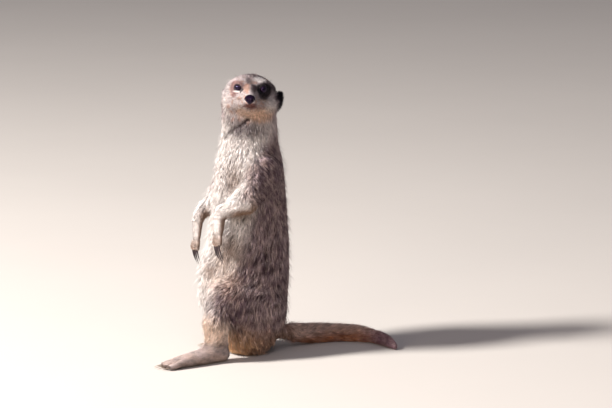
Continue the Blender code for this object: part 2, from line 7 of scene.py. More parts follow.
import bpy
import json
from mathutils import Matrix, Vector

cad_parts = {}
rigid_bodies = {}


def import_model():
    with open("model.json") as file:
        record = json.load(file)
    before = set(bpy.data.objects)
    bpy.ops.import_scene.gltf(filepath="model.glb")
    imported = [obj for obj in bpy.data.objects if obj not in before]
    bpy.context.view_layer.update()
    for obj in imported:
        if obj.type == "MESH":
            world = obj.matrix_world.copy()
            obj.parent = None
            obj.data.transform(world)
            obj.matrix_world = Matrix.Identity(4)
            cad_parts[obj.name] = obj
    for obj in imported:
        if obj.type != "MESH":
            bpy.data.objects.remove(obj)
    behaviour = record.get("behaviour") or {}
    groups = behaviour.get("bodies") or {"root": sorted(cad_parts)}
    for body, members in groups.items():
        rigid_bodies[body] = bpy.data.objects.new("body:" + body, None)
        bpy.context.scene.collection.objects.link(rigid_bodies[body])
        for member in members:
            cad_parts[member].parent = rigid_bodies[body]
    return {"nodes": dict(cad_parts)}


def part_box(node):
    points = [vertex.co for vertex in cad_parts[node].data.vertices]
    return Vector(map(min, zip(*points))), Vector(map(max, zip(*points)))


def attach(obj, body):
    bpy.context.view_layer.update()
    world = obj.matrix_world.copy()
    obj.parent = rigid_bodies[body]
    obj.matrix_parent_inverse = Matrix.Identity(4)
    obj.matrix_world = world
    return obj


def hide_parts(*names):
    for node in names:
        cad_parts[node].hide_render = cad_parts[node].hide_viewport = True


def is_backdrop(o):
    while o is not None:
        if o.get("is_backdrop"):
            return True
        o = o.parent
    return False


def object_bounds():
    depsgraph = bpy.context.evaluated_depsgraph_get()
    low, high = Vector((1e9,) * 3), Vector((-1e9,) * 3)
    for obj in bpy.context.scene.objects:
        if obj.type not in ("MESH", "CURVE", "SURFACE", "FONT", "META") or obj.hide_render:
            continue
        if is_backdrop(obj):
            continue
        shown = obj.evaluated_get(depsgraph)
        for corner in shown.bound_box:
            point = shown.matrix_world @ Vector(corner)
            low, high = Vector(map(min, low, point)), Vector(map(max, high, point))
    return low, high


bl_info = {
    "name": "Meerkat Figure",
    "version": (1, 0, 0),
    "blender": (4, 5, 0),
    "location": "3D View > Sidebar > Meerkat",
    "description": "Skin, coat, eyes, nose, claws and whiskers of a still, life-size meerkat",
    "category": "Add Mesh",
}

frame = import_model()
CAD_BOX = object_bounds()

import json
from math import cos, pi, radians, sin

import bpy
import numpy as np
from bpy.props import FloatProperty, FloatVectorProperty, IntProperty, PointerProperty
from mathutils import Euler, Matrix, Vector
from mathutils.bvhtree import BVHTree
from mathutils.kdtree import KDTree

MM = 0.001
BODY = "root"
SIDES = ("left", "right")
DIGITS = (1, 2, 3, 4)
FLESH = [
    "head", "lower_jaw", "neck", "trunk",
    "ear_left", "ear_right",
    "upper_arm_left", "upper_arm_right", "forearm_left", "forearm_right", "hand_left", "hand_right",
    "thigh_left", "thigh_right", "shin_left", "shin_right", "foot_left", "foot_right",
    "tail_root", "tail_middle", "tail_tip",
]
REGION = {name: number for number, name in enumerate(FLESH)}
HEAD_PARTS = ("head", "lower_jaw")
ARM_PARTS = ("upper_arm", "forearm", "hand")


def middle(*nodes):
    """The middle of one or more pieces' boxes, in millimetres."""
    corners = [np.array(corner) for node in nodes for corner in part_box(node)]
    return sum(corners) / len(corners) / MM


# ------------------------------------------------------------------------------------------------
# The head's own frame: +X is the animal's right, +Y forward, +Z up, with the eyes level with its origin
# ------------------------------------------------------------------------------------------------

HEAD_YAW, HEAD_PITCH, HEAD_ROLL = 68.5, 8.0, -3.5
EYES_FORWARD = 18.9  # of the middle of the skull
HEAD_TURN = Matrix.Rotation(radians(HEAD_YAW - 180), 3, "Z")
HEAD_TILT = Euler((radians(HEAD_PITCH), radians(HEAD_ROLL), 0)).to_matrix()
HEAD_AXES = np.array(HEAD_TURN @ HEAD_TILT)
HEAD_CENTRE = middle("eye_left", "eye_right") - HEAD_AXES @ np.array([0.0, EYES_FORWARD, 0.0])


def to_head(points):
    """World millimetres as head coordinates."""
    return (points - HEAD_CENTRE) @ HEAD_AXES


def from_head(vectors):
    """Directions in the head's frame as world directions."""
    return np.asarray(vectors) @ HEAD_AXES.T


EYE_CENTRES = {side: to_head(middle(f"eye_{side}")) for side in SIDES}
SIGN = {"left": -1.0, "right": 1.0}
NOSE_MIDDLE = np.array([0.0, 43.9, -10.1])
NOSE_SIZE = np.array([5.2, 3.5, 4.8])
NOSTRIL = np.array([2.75, 3.0, -0.5])  # from the nose's middle, on the right


# ------------------------------------------------------------------------------------------------
# Settings
# ------------------------------------------------------------------------------------------------


def colour_setting(name, description, value):
    return FloatVectorProperty(name=name, description=description, default=value, size=3, min=0.0, max=1.0,
                               subtype="COLOR")


def length_setting(name, description, value):
    return FloatProperty(name=name, description=f"{description}, in millimetres", default=value, min=0.0)


def angle_setting(name, description, value):
    return FloatProperty(name=name, description=description, default=radians(value), subtype="ANGLE")


class MeerkatSkinSettings(bpy.types.PropertyGroup):
    voxel: length_setting("Voxel", "How finely the skin is remeshed", 0.9)
    body_share: FloatProperty(name="Body Share",
                              description="Share of its faces that the skin keeps below long fur",
                              default=0.13, min=0.01, max=1.0, subtype="FACTOR")
    lid_height: length_setting("Lid Height", "How far a lid's edge stands over the eyeball", 0.45)
    lid_width: angle_setting("Lid Width", "Half the eye's opening from corner to corner", 50)
    lid_gap: angle_setting("Lid Gap", "Half the eye's opening from lid to lid", 41)
    mouth_depth: length_setting("Mouth Depth", "How deep the line of the mouth is", 0.9)


class MeerkatCoatSettings(bpy.types.PropertyGroup):
    seed: IntProperty(name="Seed", description="Seed of every random draw of the coat", default=11, min=0)
    fullness: FloatProperty(name="Fullness", default=1.0, min=0.05, max=2.0,
                            description="How many tufts there are, against the usual number")


class MeerkatColourSettings(bpy.types.PropertyGroup):
    chest: colour_setting("Chest", "Cream of chest, belly and the fronts of the arms", (0.77, 0.72, 0.70))
    cheek: colour_setting("Cheek", "White of cheeks and brows", (0.44, 0.38, 0.375))
    crown: colour_setting("Crown", "Grey of the crown", (0.40, 0.33, 0.33))
    flank: colour_setting("Flank", "Grizzled brown of back and flanks", (0.160, 0.105, 0.132))
    shoulder: colour_setting("Shoulder", "Pale grizzle of shoulders and upper arms", (0.44, 0.355, 0.345))
    nape: colour_setting("Nape", "Grey of the sides and back of the neck", (0.38, 0.29, 0.30))
    foot: colour_setting("Foot", "Greyish tan of the feet", (0.265, 0.220, 0.215))
    # Partly the tan of the fur, partly painted warm light: it is brightened where light reflected from the
    # floor falls on shins and rump
    tan: colour_setting("Tan", "Tan of shins and rump, and a little of the feet", (0.82, 0.48, 0.26))
    # Partly the buff of the throat, partly painted warm light reflected from below onto the underside of
    # the jaw
    throat: colour_setting("Throat", "Warm buff below the jaw", (0.74, 0.50, 0.36))
    bridge: colour_setting("Bridge", "Rust along the bridge of the muzzle", (0.40, 0.20, 0.13))
    patch: colour_setting("Patch", "Near black of the left eye's patch and the ears", (0.004, 0.003, 0.006))
    # Round the right eye this is painted sunlight: that eye's dark patch shown as the pale reddish ring of
    # a sunlit patch. On the lips it is their own reddish brown.
    rim: colour_setting("Rim", "Reddish brown of the right eye's rim and the lips", (0.15, 0.052, 0.045))
    # Painted shade for the most part: in the neck's fold, the jaw's shadow on the neck, over the left of
    # the crown and down the left of the bridge; also the dark fringe of the eye patch and a dark spot
    # between the brows
    fold: colour_setting("Fold", "Dark grey brown of the neck's fold and the brows", (0.060, 0.038, 0.045))
    # Partly the rust of the tail, partly painted warm light reflected from the floor onto its underside
    tail: colour_setting("Tail", "Rust brown of the tail's underside", (0.50, 0.19, 0.08))
    tail_top: colour_setting("Tail Top", "Buff of the tail's upper side", (0.80, 0.56, 0.46))
    tail_tip: colour_setting("Tail Tip", "Dark brown of the tail's tip", (0.27, 0.15, 0.19))
    # Painted shade rather than a fur colour: below and on the far sides of forearms and hands, in the
    # breast's hollows beside the arms, under the left arm, on the belly and between the digits; it also
    # darkens the knuckles
    under: colour_setting("Underside", "Brown below the forearms and beside the arms", (0.22, 0.13, 0.085))
    dark_hair: colour_setting("Dark Hair", "Dark tips among the hairs of the back", (0.030, 0.017, 0.023))
    light_hair: colour_setting("Light Hair", "Light tips among the hairs of the back", (0.54, 0.41, 0.37))


class MeerkatEyeSettings(bpy.types.PropertyGroup):
    pupil: angle_setting("Pupil", "Half the pupil's width, seen from the eye's middle", 19)
    iris: angle_setting("Iris", "Half the iris's width, seen from the eye's middle", 46)
    gaze: angle_setting("Gaze", "How far outward each eye looks", 25)
    colour: colour_setting("Iris Colour", "Dark brown of the iris", (0.012, 0.005, 0.012))


class MeerkatWhiskerSettings(bpy.types.PropertyGroup):
    length: length_setting("Length", "The longest whisker", 22.0)
    radius: length_setting("Radius", "A whisker's radius at its root", 0.13)


class MeerkatStageSettings(bpy.types.PropertyGroup):
    azimuth: angle_setting("Azimuth", "The camera's bearing around the figure", 68)
    elevation: angle_setting("Elevation", "The camera's height above the horizon", 10)
    distance: FloatProperty(name="Distance", description="From the camera to its target", default=3.0,
                            unit="LENGTH")
    view_width: FloatProperty(name="View Width", description="Width of the view at the target",
                              default=0.58752, unit="LENGTH")
    target_right: length_setting("Target Right", "The target's place to the right of the origin", 54.24)
    target_up: length_setting("Target Up", "The target's place above the origin, across the view", 142.08)
    key_power: FloatProperty(name="Key", description="Power of the key light", default=335.0, unit="POWER")
    bounce_power: FloatProperty(name="Bounce", description="Power of the low, warm light", default=7.0,
                                unit="POWER")
    fill_power: FloatProperty(name="Fill", description="Power of the fill light", default=9.0, unit="POWER")
    floor_colour: colour_setting("Floor", "The pale floor", (0.46, 0.43, 0.40))


SETTINGS = {
    "meerkat_skin": MeerkatSkinSettings,
    "meerkat_coat": MeerkatCoatSettings,
    "meerkat_colour": MeerkatColourSettings,
    "meerkat_eye": MeerkatEyeSettings,
    "meerkat_whisker": MeerkatWhiskerSettings,
    "meerkat_stage": MeerkatStageSettings,
}


# ------------------------------------------------------------------------------------------------
# Small helpers for arrays
# ------------------------------------------------------------------------------------------------


def step(low, high, value):
    """A smooth rise from 0 at low to 1 at high."""
    share = np.clip((value - low) / (high - low), 0.0, 1.0)
    return share * share * (3 - 2 * share)


def unit(vectors):
    return vectors / np.maximum(np.linalg.norm(vectors, axis=-1, keepdims=True), 1e-9)


def mix(base, other, weight):
    """Rows of base blended towards other by each row's weight."""
    weight = np.clip(weight, 0.0, 1.0)[:, None]
    return base * (1 - weight) + np.asarray(other, float) * weight


def plain(colour, count):
    """Rows of one colour."""
    return np.tile(np.array(colour), (count, 1))


def mirrored(local):
    """Head coordinates with the left half folded over onto the right."""
    folded = local * (1, 1, 1)
    folded[:, 0] = np.abs(folded[:, 0])
    return folded


def blob(points, centre, radii, edge=0.35):
    """1 inside an ellipsoid and 0 outside, with a soft edge that is a share of its radius wide."""
    reach = np.linalg.norm((points - np.array(centre, float)) / np.array(radii, float), axis=1)
    return 1 - step(1 - edge, 1 + edge, reach)


def flat(vectors, normals):
    """Vectors laid into the surface, at unit length."""
    return unit(vectors - normals * np.sum(vectors * normals, axis=1, keepdims=True))


def relax(values, edges, rounds, share=0.5):
    """Blends each point's values with the mean of its neighbours', round after round."""
    count = np.maximum(np.bincount(edges.ravel(), minlength=len(values)), 1)
    for _ in range(rounds):
        mean = np.empty_like(values)
        for k in range(values.shape[1]):
            column = values[:, k]
            total = np.bincount(edges[:, 0], weights=column[edges[:, 1]], minlength=len(values))
            total += np.bincount(edges[:, 1], weights=column[edges[:, 0]], minlength=len(values))
            mean[:, k] = total / count
        values = values * (1 - share) + mean * share
    return values


PLANE_WAVES = 14
WAVE_CEILING = 4.2  # the sum of the plane waves that counts as 1


def waves(points, size, seed):
    """Smooth noise from -1 to 1 with lumps of about the given size: a sum of plane waves."""
    rng = np.random.default_rng(seed)
    total = np.zeros(len(points))
    for _ in range(PLANE_WAVES):
        way = rng.normal(size=3)
        way *= 2 * pi / size / np.linalg.norm(way) * rng.uniform(0.6, 1.5)
        total += np.sin(points @ way + rng.uniform(0, 2 * pi))
    return np.clip(total / WAVE_CEILING, -1, 1)


# ------------------------------------------------------------------------------------------------
# Small helpers for meshes
# ------------------------------------------------------------------------------------------------


def deselect():
    for obj in bpy.context.view_layer.objects:
        obj.select_set(False)


def activate(obj):
    deselect()
    obj.select_set(True)
    bpy.context.view_layer.objects.active = obj


def edit(obj, *steps):
    """Runs edit-mode operators, each a tuple of operator and settings, on the object."""
    activate(obj)
    bpy.ops.object.mode_set(mode="EDIT")
    for operator, settings in steps:
        operator(**settings)
    bpy.ops.object.mode_set(mode="OBJECT")


def apply_modifier(obj, kind, **settings):
    activate(obj)
    modifier = obj.modifiers.new(kind.lower(), kind)
    for key, value in settings.items():
        setattr(modifier, key, value)
    bpy.ops.object.modifier_apply(modifier=modifier.name)


def select_faces(mesh, chosen):
    """Leaves just the chosen faces selected for edit mode."""
    mesh.vertices.foreach_set("select", np.zeros(len(mesh.vertices), bool))
    mesh.edges.foreach_set("select", np.zeros(len(mesh.edges), bool))
    mesh.polygons.foreach_set("select", chosen)


def among(regions, names):
    """Which points lie in the named regions."""
    return np.isin(regions, [REGION[name] for name in names])


def points_of(mesh):
    """A mesh's vertices in millimetres."""
    found = np.empty(len(mesh.vertices) * 3, np.float32)
    mesh.vertices.foreach_get("co", found)
    return found.reshape(-1, 3).astype(float) / MM


def set_points(mesh, points):
    mesh.vertices.foreach_set("co", (points * MM).astype(np.float32).ravel())
    mesh.update()


def normals_of(mesh):
    found = np.empty(len(mesh.vertices) * 3, np.float32)
    mesh.vertex_normals.foreach_get("vector", found)
    return found.reshape(-1, 3).astype(float)


def edges_of(mesh):
    found = np.empty(len(mesh.edges) * 2, np.int32)
    mesh.edges.foreach_get("vertices", found)
    return found.reshape(-1, 2)


def face_centres(mesh):
    found = np.empty(len(mesh.polygons) * 3, np.float32)
    mesh.polygons.foreach_get("center", found)
    return found.reshape(-1, 3).astype(float) / MM


def store(mesh, name, values):
    """Keeps one number, three numbers or a colour for each point of the mesh."""
    kinds = {1: ("FLOAT", "value"), 3: ("FLOAT_VECTOR", "vector"), 4: ("FLOAT_COLOR", "color")}
    kind, field = kinds[values.shape[1]]
    layer = mesh.attributes.get(name) or mesh.attributes.new(name, kind, "POINT")
    layer.data.foreach_set(field, values.astype(np.float32).ravel())


def read(mesh, name, width):
    field = {1: "value", 3: "vector", 4: "color"}[width]
    found = np.empty(len(mesh.vertices) * width, np.float32)
    mesh.attributes[name].data.foreach_get(field, found)
    return found.reshape(-1, width).astype(float)


def with_alpha(colours):
    return np.column_stack([colours, np.ones(len(colours))])


def ride(obj, slot, *nodes):
    """Sets a finished piece on the body, in place of its nodes."""
    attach(obj, BODY)
    if nodes:
        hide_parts(*nodes)
    return obj


# ------------------------------------------------------------------------------------------------
# How the coat lies, how deep it is and how it is marked
# ------------------------------------------------------------------------------------------------

TWIST_HEIGHTS = (80, 114, 150, 180, 205, 224, 256)
TWIST = (0, 6, 14, 22, 35, 50, HEAD_YAW)  # of the trunk and neck at those heights, in degrees
DOWN = np.array([0.0, 0.0, -1.0])
NOSE_TIP = np.array([0.0, 46.0, -8.0])  # in the head's frame
TAIL_ROUTE = ((-2, 36), (-8, 52), (-17, 82), (-10, 111), (14, 130), (44, 133), (56, 133))


def around(points):
    """How far round the trunk each point lies, in degrees: 0 at the breastbone, 90 at the left flank."""
    yaw = np.radians(np.interp(points[:, 2], TWIST_HEIGHTS, TWIST))
    forward = points[:, 0] * np.sin(yaw) - points[:, 1] * np.cos(yaw)
    leftward = points[:, 0] * np.cos(yaw) + points[:, 1] * np.sin(yaw)
    return np.degrees(np.arctan2(leftward, forward))


def along_tail(points):
    """Each point's distance along the tail from the rump, and the tail's direction there."""
    route = np.column_stack([np.array(TAIL_ROUTE, float), np.zeros(len(TAIL_ROUTE))])
    starts, spans = route[:-1], np.diff(route, axis=0)
    lengths = np.linalg.norm(spans, axis=1)
    before = np.concatenate([[0], np.cumsum(lengths)[:-1]])
    ground = points * (1, 1, 0)
    best = np.full(len(points), np.inf)
    travel = np.zeros(len(points))
    for start, span, length, done in zip(starts, spans, lengths, before):
        share = np.clip((ground - start) @ span / length ** 2, 0, 1)
        gap = np.linalg.norm(ground - start - share[:, None] * span, axis=1)
        nearer = gap < best
        best = np.where(nearer, gap, best)
        travel = np.where(nearer, done + share * length, travel)
    middles = before + lengths / 2
    ways = np.column_stack([np.interp(travel, middles, spans[:, k] / lengths) for k in range(3)])
    return travel, unit(ways)


def lie_of_head(points):
    """Back from the nose all over the face, and down from the cheeks and the nape."""
    local = to_head(points)
    back = from_head(unit(local - NOSE_TIP))
    down = np.maximum(step(-8, -28, local[:, 2]), step(4, -18, local[:, 1]) * 0.7)
    return mix(back, DOWN, down)


def lie_of_trunk(points):
    """Down the body, swept forward over the lower flanks towards the belly."""
    turn = np.abs(around(points))
    flank = step(15, 45, turn) * (1 - step(105, 145, turn))
    sweep = np.interp(points[:, 2], (22, 48, 66, 100, 150), (-0.35, 0.05, 0.75, 0.5, 0.0)) * flank
    return np.column_stack([np.zeros(len(points)), -sweep, -np.ones(len(points))])


def lie_of_limb(side, name):
    """One direction for each length of a limb, towards its paw."""
    if name == "upper_arm":
        return np.array([0.15 * -SIGN[side], 0.5, -1.0])
    after = {"forearm": "hand", "shin": "foot"}.get(name)
    if after:
        way = middle(f"{after}_{side}") - middle(f"{name}_{side}")
        return way / np.linalg.norm(way) + (0.0, 0.0, -0.3 if name == "forearm" else -0.8)
    claws = middle(*(f"claw_{name}_{side}_{digit}" for digit in DIGITS))
    return claws - middle(f"{name}_{side}")


def lie_of_ear(points, name):
    """Outward and back, and from the ear's top up and in over the crown."""
    sign = SIGN[name.rsplit("_", 1)[1]]
    top = step(-0.5, 2.5, (to_head(points) - to_head(middle(name)))[:, 2])
    return from_head(mix(np.tile([sign, -0.5, 0.1], (len(points), 1)), (-0.6 * sign, 0.0, 0.9), top))


def lie_of_coat(points, regions):
    """Which way the hair lies at each point, before it is laid into the surface."""
    lie = lie_of_trunk(points)
    for name, number in REGION.items():
        here = regions == number
        if not here.any():
            continue
        if name in HEAD_PARTS:
            lie[here] = lie_of_head(points[here])
        elif name.startswith("ear"):
            lie[here] = lie_of_ear(points[here], name)
        elif name.startswith("tail"):
            lie[here] = along_tail(points[here])[1]
        elif name.startswith((*ARM_PARTS, "shin", "foot")):
            limb, side = name.rsplit("_", 1)
            lie[here] = lie_of_limb(side, limb)
    return unit(lie)


COAT_DEPTH = {
    "neck": 4.4, "trunk": 4.4, "ear": 0.9, "upper_arm": 3.2, "forearm": 1.8, "hand": 0.8,
    "thigh": 4.4, "shin": 2.6, "foot": 0.9, "tail_root": 2.6, "tail_middle": 2.1, "tail_tip": 1.3,
}


DIGIT_LENGTH = {"hand": 8.0, "foot": 15.0}
DIGIT_GROOVE = 1.1  # how deep the grooves between the digits are


NEAREST_CORNERS = 8  # of a claw, whose middle counts as its root


def claw_root(paw, side, digit):
    """Where a claw leaves its paw."""
    points = points_of(frame["nodes"][f"claw_{paw}_{side}_{digit}"].data)
    reach = np.linalg.norm(points - middle(f"{paw}_{side}"), axis=1)
    return points[np.argsort(reach)[:NEAREST_CORNERS]].mean(axis=0)


FAR = 99.0


def from_claws(points, regions):
    """Each paw point's distance from the nearest claw's root, and a great distance elsewhere."""
    gap = np.full(len(points), FAR)
    for paw in DIGIT_LENGTH:
        for side in SIDES:
            here = regions == REGION[f"{paw}_{side}"]
            for digit in DIGITS:
                root = claw_root(paw, side, digit)
                gap[here] = np.minimum(gap[here], np.linalg.norm(points[here] - root, axis=1))
    return gap


def depth_of_head(points):
    """Shallowest on the muzzle and round the eyes, and deepest in the ruff."""
    local = to_head(points)
    depth = np.interp(local[:, 1], (2, 14, 26, 40), (2.3, 1.6, 1.0, 0.6))
    ruff = step(-7, -20, local[:, 2]) * step(26, 10, local[:, 1])
    depth += ruff * 1.2
    for centre in EYE_CENTRES.values():
        reach = np.linalg.norm(local - centre, axis=1)
        depth *= 0.25 + 0.75 * step(5.5, 11, reach)
    depth *= 0.5 + 0.5 * step(5, 10, np.linalg.norm(local - NOSE_MIDDLE, axis=1))
    return depth


def depth_of_coat(points, regions):
    """How deep the coat is at each point, in millimetres."""
    depth = np.zeros(len(points))
    for name, number in REGION.items():
        here = regions == number
        if name in HEAD_PARTS:
            depth[here] = depth_of_head(points[here])
        else:
            kind = name if name in COAT_DEPTH else name.rsplit("_", 1)[0]
            depth[here] = COAT_DEPTH[kind]
    neck = regions == REGION["neck"]
    depth[neck] = np.interp(points[neck, 2], (200, 212, 224), (4.4, 3.4, 2.4))
    belly = (regions == REGION["trunk"]) & (points[:, 2] < 112)
    depth[belly] += 0.8 * step(75, 30, np.abs(around(points[belly])))
    return depth * (0.35 + 0.65 * step(2.0, 7.0, from_claws(points, regions)))


FLANK_EDGE = (  # how far round the trunk its brown begins, in degrees, by height
    (20, 33, 50, 62, 73, 90, 110, 130, 150, 180, 200, 208, 216, 225),
    (38, 34, 31, 31, 36, 48, 57, 62, 68, 66, 65, 72, 84, 95),
)


def body_colours(points, paint):
    """The broad colours of the body, and how strongly its hairs are grizzled, from 0 to 1."""
    turn = np.abs(around(points))
    height = points[:, 2]
    edge = np.interp(height, *FLANK_EDGE) + 5 * waves(points, 12, 5)
    dorsal = step(-7, 10, turn - edge)
    back = mix(plain(paint.flank, len(points)), paint.nape, step(196, 214, height))
    colour = mix(plain(paint.chest, len(points)), back, dorsal)
    grizzle = 0.14 + 0.86 * dorsal
    # the tan towards the floor is partly painted warm light reflected from it
    low = step(40, 10, height + 7 * waves(points, 10, 13))
    colour = mix(colour, paint.tan, low * (0.5 + 0.5 * step(100, 60, turn)))
    grizzle *= 1 - 0.6 * low
    return colour, grizzle


BAND_PERIOD = 11.5  # from one dark bar to the next


def bands(points):
    """Soft dark bars across the lower back and the paler fur between them, as shares from 0 to 1."""
    turn = np.abs(around(points))
    wander = 2.2 * waves(points, 22, 8)
    bars = 0.5 + 0.5 * np.sin((points[:, 2] + wander) * 2 * pi / BAND_PERIOD)
    broken = step(-0.45, 0.25, waves(points, 11, 9))
    place = step(50, 74, turn) * step(22, 40, points[:, 2]) * step(150, 118, points[:, 2])
    return step(0.35, 0.75, bars) * broken * place, step(0.55, 0.1, bars) * place


def flecks(points):
    """Dark and pale flecks, wider than they are tall, as shares from 0 to 1."""
    field = waves(points * (1, 1, 1.7), 7.5, 31)
    return step(0.1, 0.6, field), step(-0.1, -0.6, field)


SHADED_WAY = (0.375, 0.927, 0.0)  # the way that the sides of forearms and hands face where shade is painted on them
# The right ear's front is painted pale as sunlight glare; the ear itself is black like the left one.
EAR_FRONT_GLARE = {"ear_left": 0.0, "ear_right": 1.0}


def limb_colours(name, points, normals, colour, grizzle, paint):
    """The colours of arms, legs, paws and tail in place of the body's."""
    count = len(points)
    if name.startswith("upper_arm"):
        behind = step(50, 66, np.abs(around(points)) + 4 * waves(points, 9, 14))
        pale = mix(colour, paint.shoulder, np.full(count, 0.9))
        return mix(pale, paint.flank, behind), 0.8 + 0.2 * behind
    if name.startswith(("forearm", "hand")):
        # Painted shade on the undersides of forearms and hands and on their sides that face SHADED_WAY,
        # with darker knuckles on the hands
        shade = step(0.15, -0.5, normals[:, 2]) * step(-40, -26, points[:, 1])
        if name.startswith("hand"):
            knuckles = step(11, 3, from_claws(points, np.full(count, REGION[name])))
            shade = np.maximum(shade, 0.75 * knuckles)
        shade = np.maximum(shade, 0.95 * step(0.0, 0.6, normals @ SHADED_WAY))
        return mix(plain(paint.chest, count), paint.under, shade), np.full(count, 0.15)
    if name.startswith("shin"):
        # the warm tan of the shins, partly painted light reflected from the floor
        warm = mix(plain(paint.tan, count), paint.chest, np.full(count, 0.55))
        return mix(colour, warm, step(60, 36, points[:, 2] + 5 * waves(points, 9, 15))), grizzle * 0.5
    if name.startswith("foot"):
        base = mix(plain(paint.tan, count), paint.foot, 0.93 + 0.07 * waves(points, 16, 12))
        return base, np.full(count, 0.45)
    if name.startswith("tail"):
        travel, _ = along_tail(points)
        # the underside's rust is partly painted warm light reflected from the floor
        base = mix(plain(paint.tail, count), paint.tail_top, step(6, 13, points[:, 2]))
        return mix(base, paint.tail_tip, step(80, 118, travel)), np.full(count, 0.5)
    return colour, grizzle


def head_colours(points, paint):
    """Broad colours of the head: grey crown, white cheeks, grey nape."""
    local = to_head(points)
    x, y, z = local.T
    colour = plain(paint.cheek, len(points))
    colour = mix(colour, paint.crown, step(3, 9, z) * 0.75)
    colour = mix(colour, paint.crown, step(8, -8, y) * step(-22, -4, z) * 0.8)
    colour = mix(colour, paint.nape, step(6, -10, y) * step(-14, -26, z))
    colour = mix(colour, paint.nape, step(-14, -20, x) * step(0, -8, z) * 0.65)
    grizzle = 0.22 + 0.35 * step(3, 9, z) + 0.3 * step(6, -14, y)
    left_brow = blob(local, (-8.6, 12, 8.2), (7, 12, 3.2))
    right_brow = blob(local, (16, 12, 7.5), (8, 14, 4))
    return colour, grizzle * (1 - 0.8 * np.maximum(left_brow, right_brow))


def line(points, route, reach):
    """1 on a line through the given places, falling to 0 at the given distance from it."""
    best = np.full(len(points), np.inf)
    for start, end in zip(np.array(route, float), np.array(route[1:], float)):
        span = end - start
        share = np.clip((points - start) @ span / (span @ span), 0, 1)
        best = np.minimum(best, np.linalg.norm(points - start - share[:, None] * span, axis=1))
    return 1 - step(0.25 * reach, reach, best)


FACE_MARKS = (  # colour, weight, centre, radii and softness, in the head's frame
    # painted highlight: the sunlit right edge of the face, pale
    ("chest", 0.5, (24, 3, -20), (6, 14, 20), 0.6),
    # the buff of the jaw's underside, partly painted warm light from below
    ("throat", 0.85, (-12, 18, -23.8), (18, 18, 7.4), 0.6),
    ("throat", 0.45, (6, 26, -21.5), (7, 12, 3.5), 0.6),
    ("chest", 0.95, (-8.6, 12, 8.2), (6.2, 12, 2.5), 0.3),
    ("nape", 0.3, (16.5, 12, 7.5), (6.5, 14, 3.0), 0.5),
    ("bridge", 0.7, (3.6, 26, 0.2), (3.4, 12, 6.0), 0.45),
    ("fold", 0.90, (2.0, 17, 6.9), (2.6, 12, 3.2), 0.5),
    # painted shade down the left side of the bridge
    ("fold", 0.90, (-2.6, 27, -1.0), (2.8, 12, 5.6), 0.4),
    # painted shade on the left of the muzzle
    ("nape", 0.25, (-8.0, 32, -8.5), (4.5, 8, 4.5), 0.5),
    ("chest", 0.75, (-18, 12, -13), (7, 14, 7), 0.6),
    # painted sunlight: the right eye's dark patch shown as a pale reddish ring above and below the eye
    ("rim", 0.8, (13.2, 19, 0.3), (8.0, 9, 6.6), 0.22),
    ("rim", 0.8, (15.2, 20, -7.4), (2.4, 6, 2.2), 0.5),
    ("fold", 0.6, (7.2, 20, -0.4), (1.3, 8, 3.6), 0.5),
    ("rim", 0.92, (-1.0, 40, -16.3), (6.4, 9, 3.2), 0.45),
    ("rim", 0.4, (-9.5, 30, -17.0), (5.0, 8, 2.2), 0.5),
    ("patch", 1.0, (-12.7, 20, -0.4), (7.5, 15, 6.4), 0.16),
    ("patch", 0.75, (-11.6, 20, -6.0), (4.8, 12, 5.0), 0.5),
)
# painted shade: a dark band over the left of the crown, down to the left ear
CROWN_SHADE_LINE = ((-3.0, 12.4), (-11.0, 10.6), (-17.4, 6.0), (-22.5, 0.0))  # across and up, in the head's frame
LIP = ((0.0, 41.0, -15.4), (4.6, 37.5, -16.6), (8.2, 31.0, -17.8), (10.6, 24.5, -18.6))


def face_marks(points, colour, scene):
    """The sharp marks of the face: eye patch, brows, bridge and lips; and painted light: shade in a dark
    line over the crown to the left ear and down the left of the bridge and muzzle, a sunlit ring round the
    right eye, and highlights on the right cheek's edge and the right lower lid.
    """
    local, paint = to_head(points), scene.meerkat_colour
    face = step(2, 7, local[:, 1])
    mottle = step(0.25, 0.75, waves(points, 5.5, 21)) * step(6, 12, local[:, 1])
    colour = mix(colour, paint.bridge, mottle * 0.55)
    # painted shade over the left of the crown
    crown_shade = line(local[:, (0, 2)], CROWN_SHADE_LINE, 3.2) * step(-14, -6, local[:, 1])
    colour = mix(colour, paint.fold, crown_shade * 0.85)
    colour = mix(colour, paint.patch, blob(local, (-26, -6, 1), (6, 8, 7), 0.5) * 0.9)
    for name, weight, centre, radii, edge in FACE_MARKS:
        if name == "patch":
            fringe = blob(local, centre, np.array(radii) * 1.16, 0.2)
            colour = mix(colour, paint.fold, fringe * face * 0.6)
        colour = mix(colour, getattr(paint, name), blob(local, centre, radii, edge) * face * weight)
    colour = mix(colour, paint.rim, mouth_line(local) * 0.8)
    lids = lid_share(local, 1.08, 1.24, scene.meerkat_skin, scene.meerkat_eye.gaze)
    colour = mix(colour, paint.patch, lids * 0.9)
    # painted highlight: the glint of the right eye's wet lower lid, as a pale crescent
    lid_highlight = blob(local, (12.8, 22, -3.5), (3.4, 8, 0.9), 0.5)
    return mix(colour, paint.chest, lid_highlight * 0.7)


def mouth_line(local):
    """1 on the line of the mouth, falling to 0 a millimetre or so away and towards its corners."""
    return line(mirrored(local), LIP, 1.5) * step(30, 37, local[:, 1])


KNEE_FOLD = ((4.0, -42.5, 71.0), (15.1, -39.6, 77.5), (25.5, -26.6, 89.0))
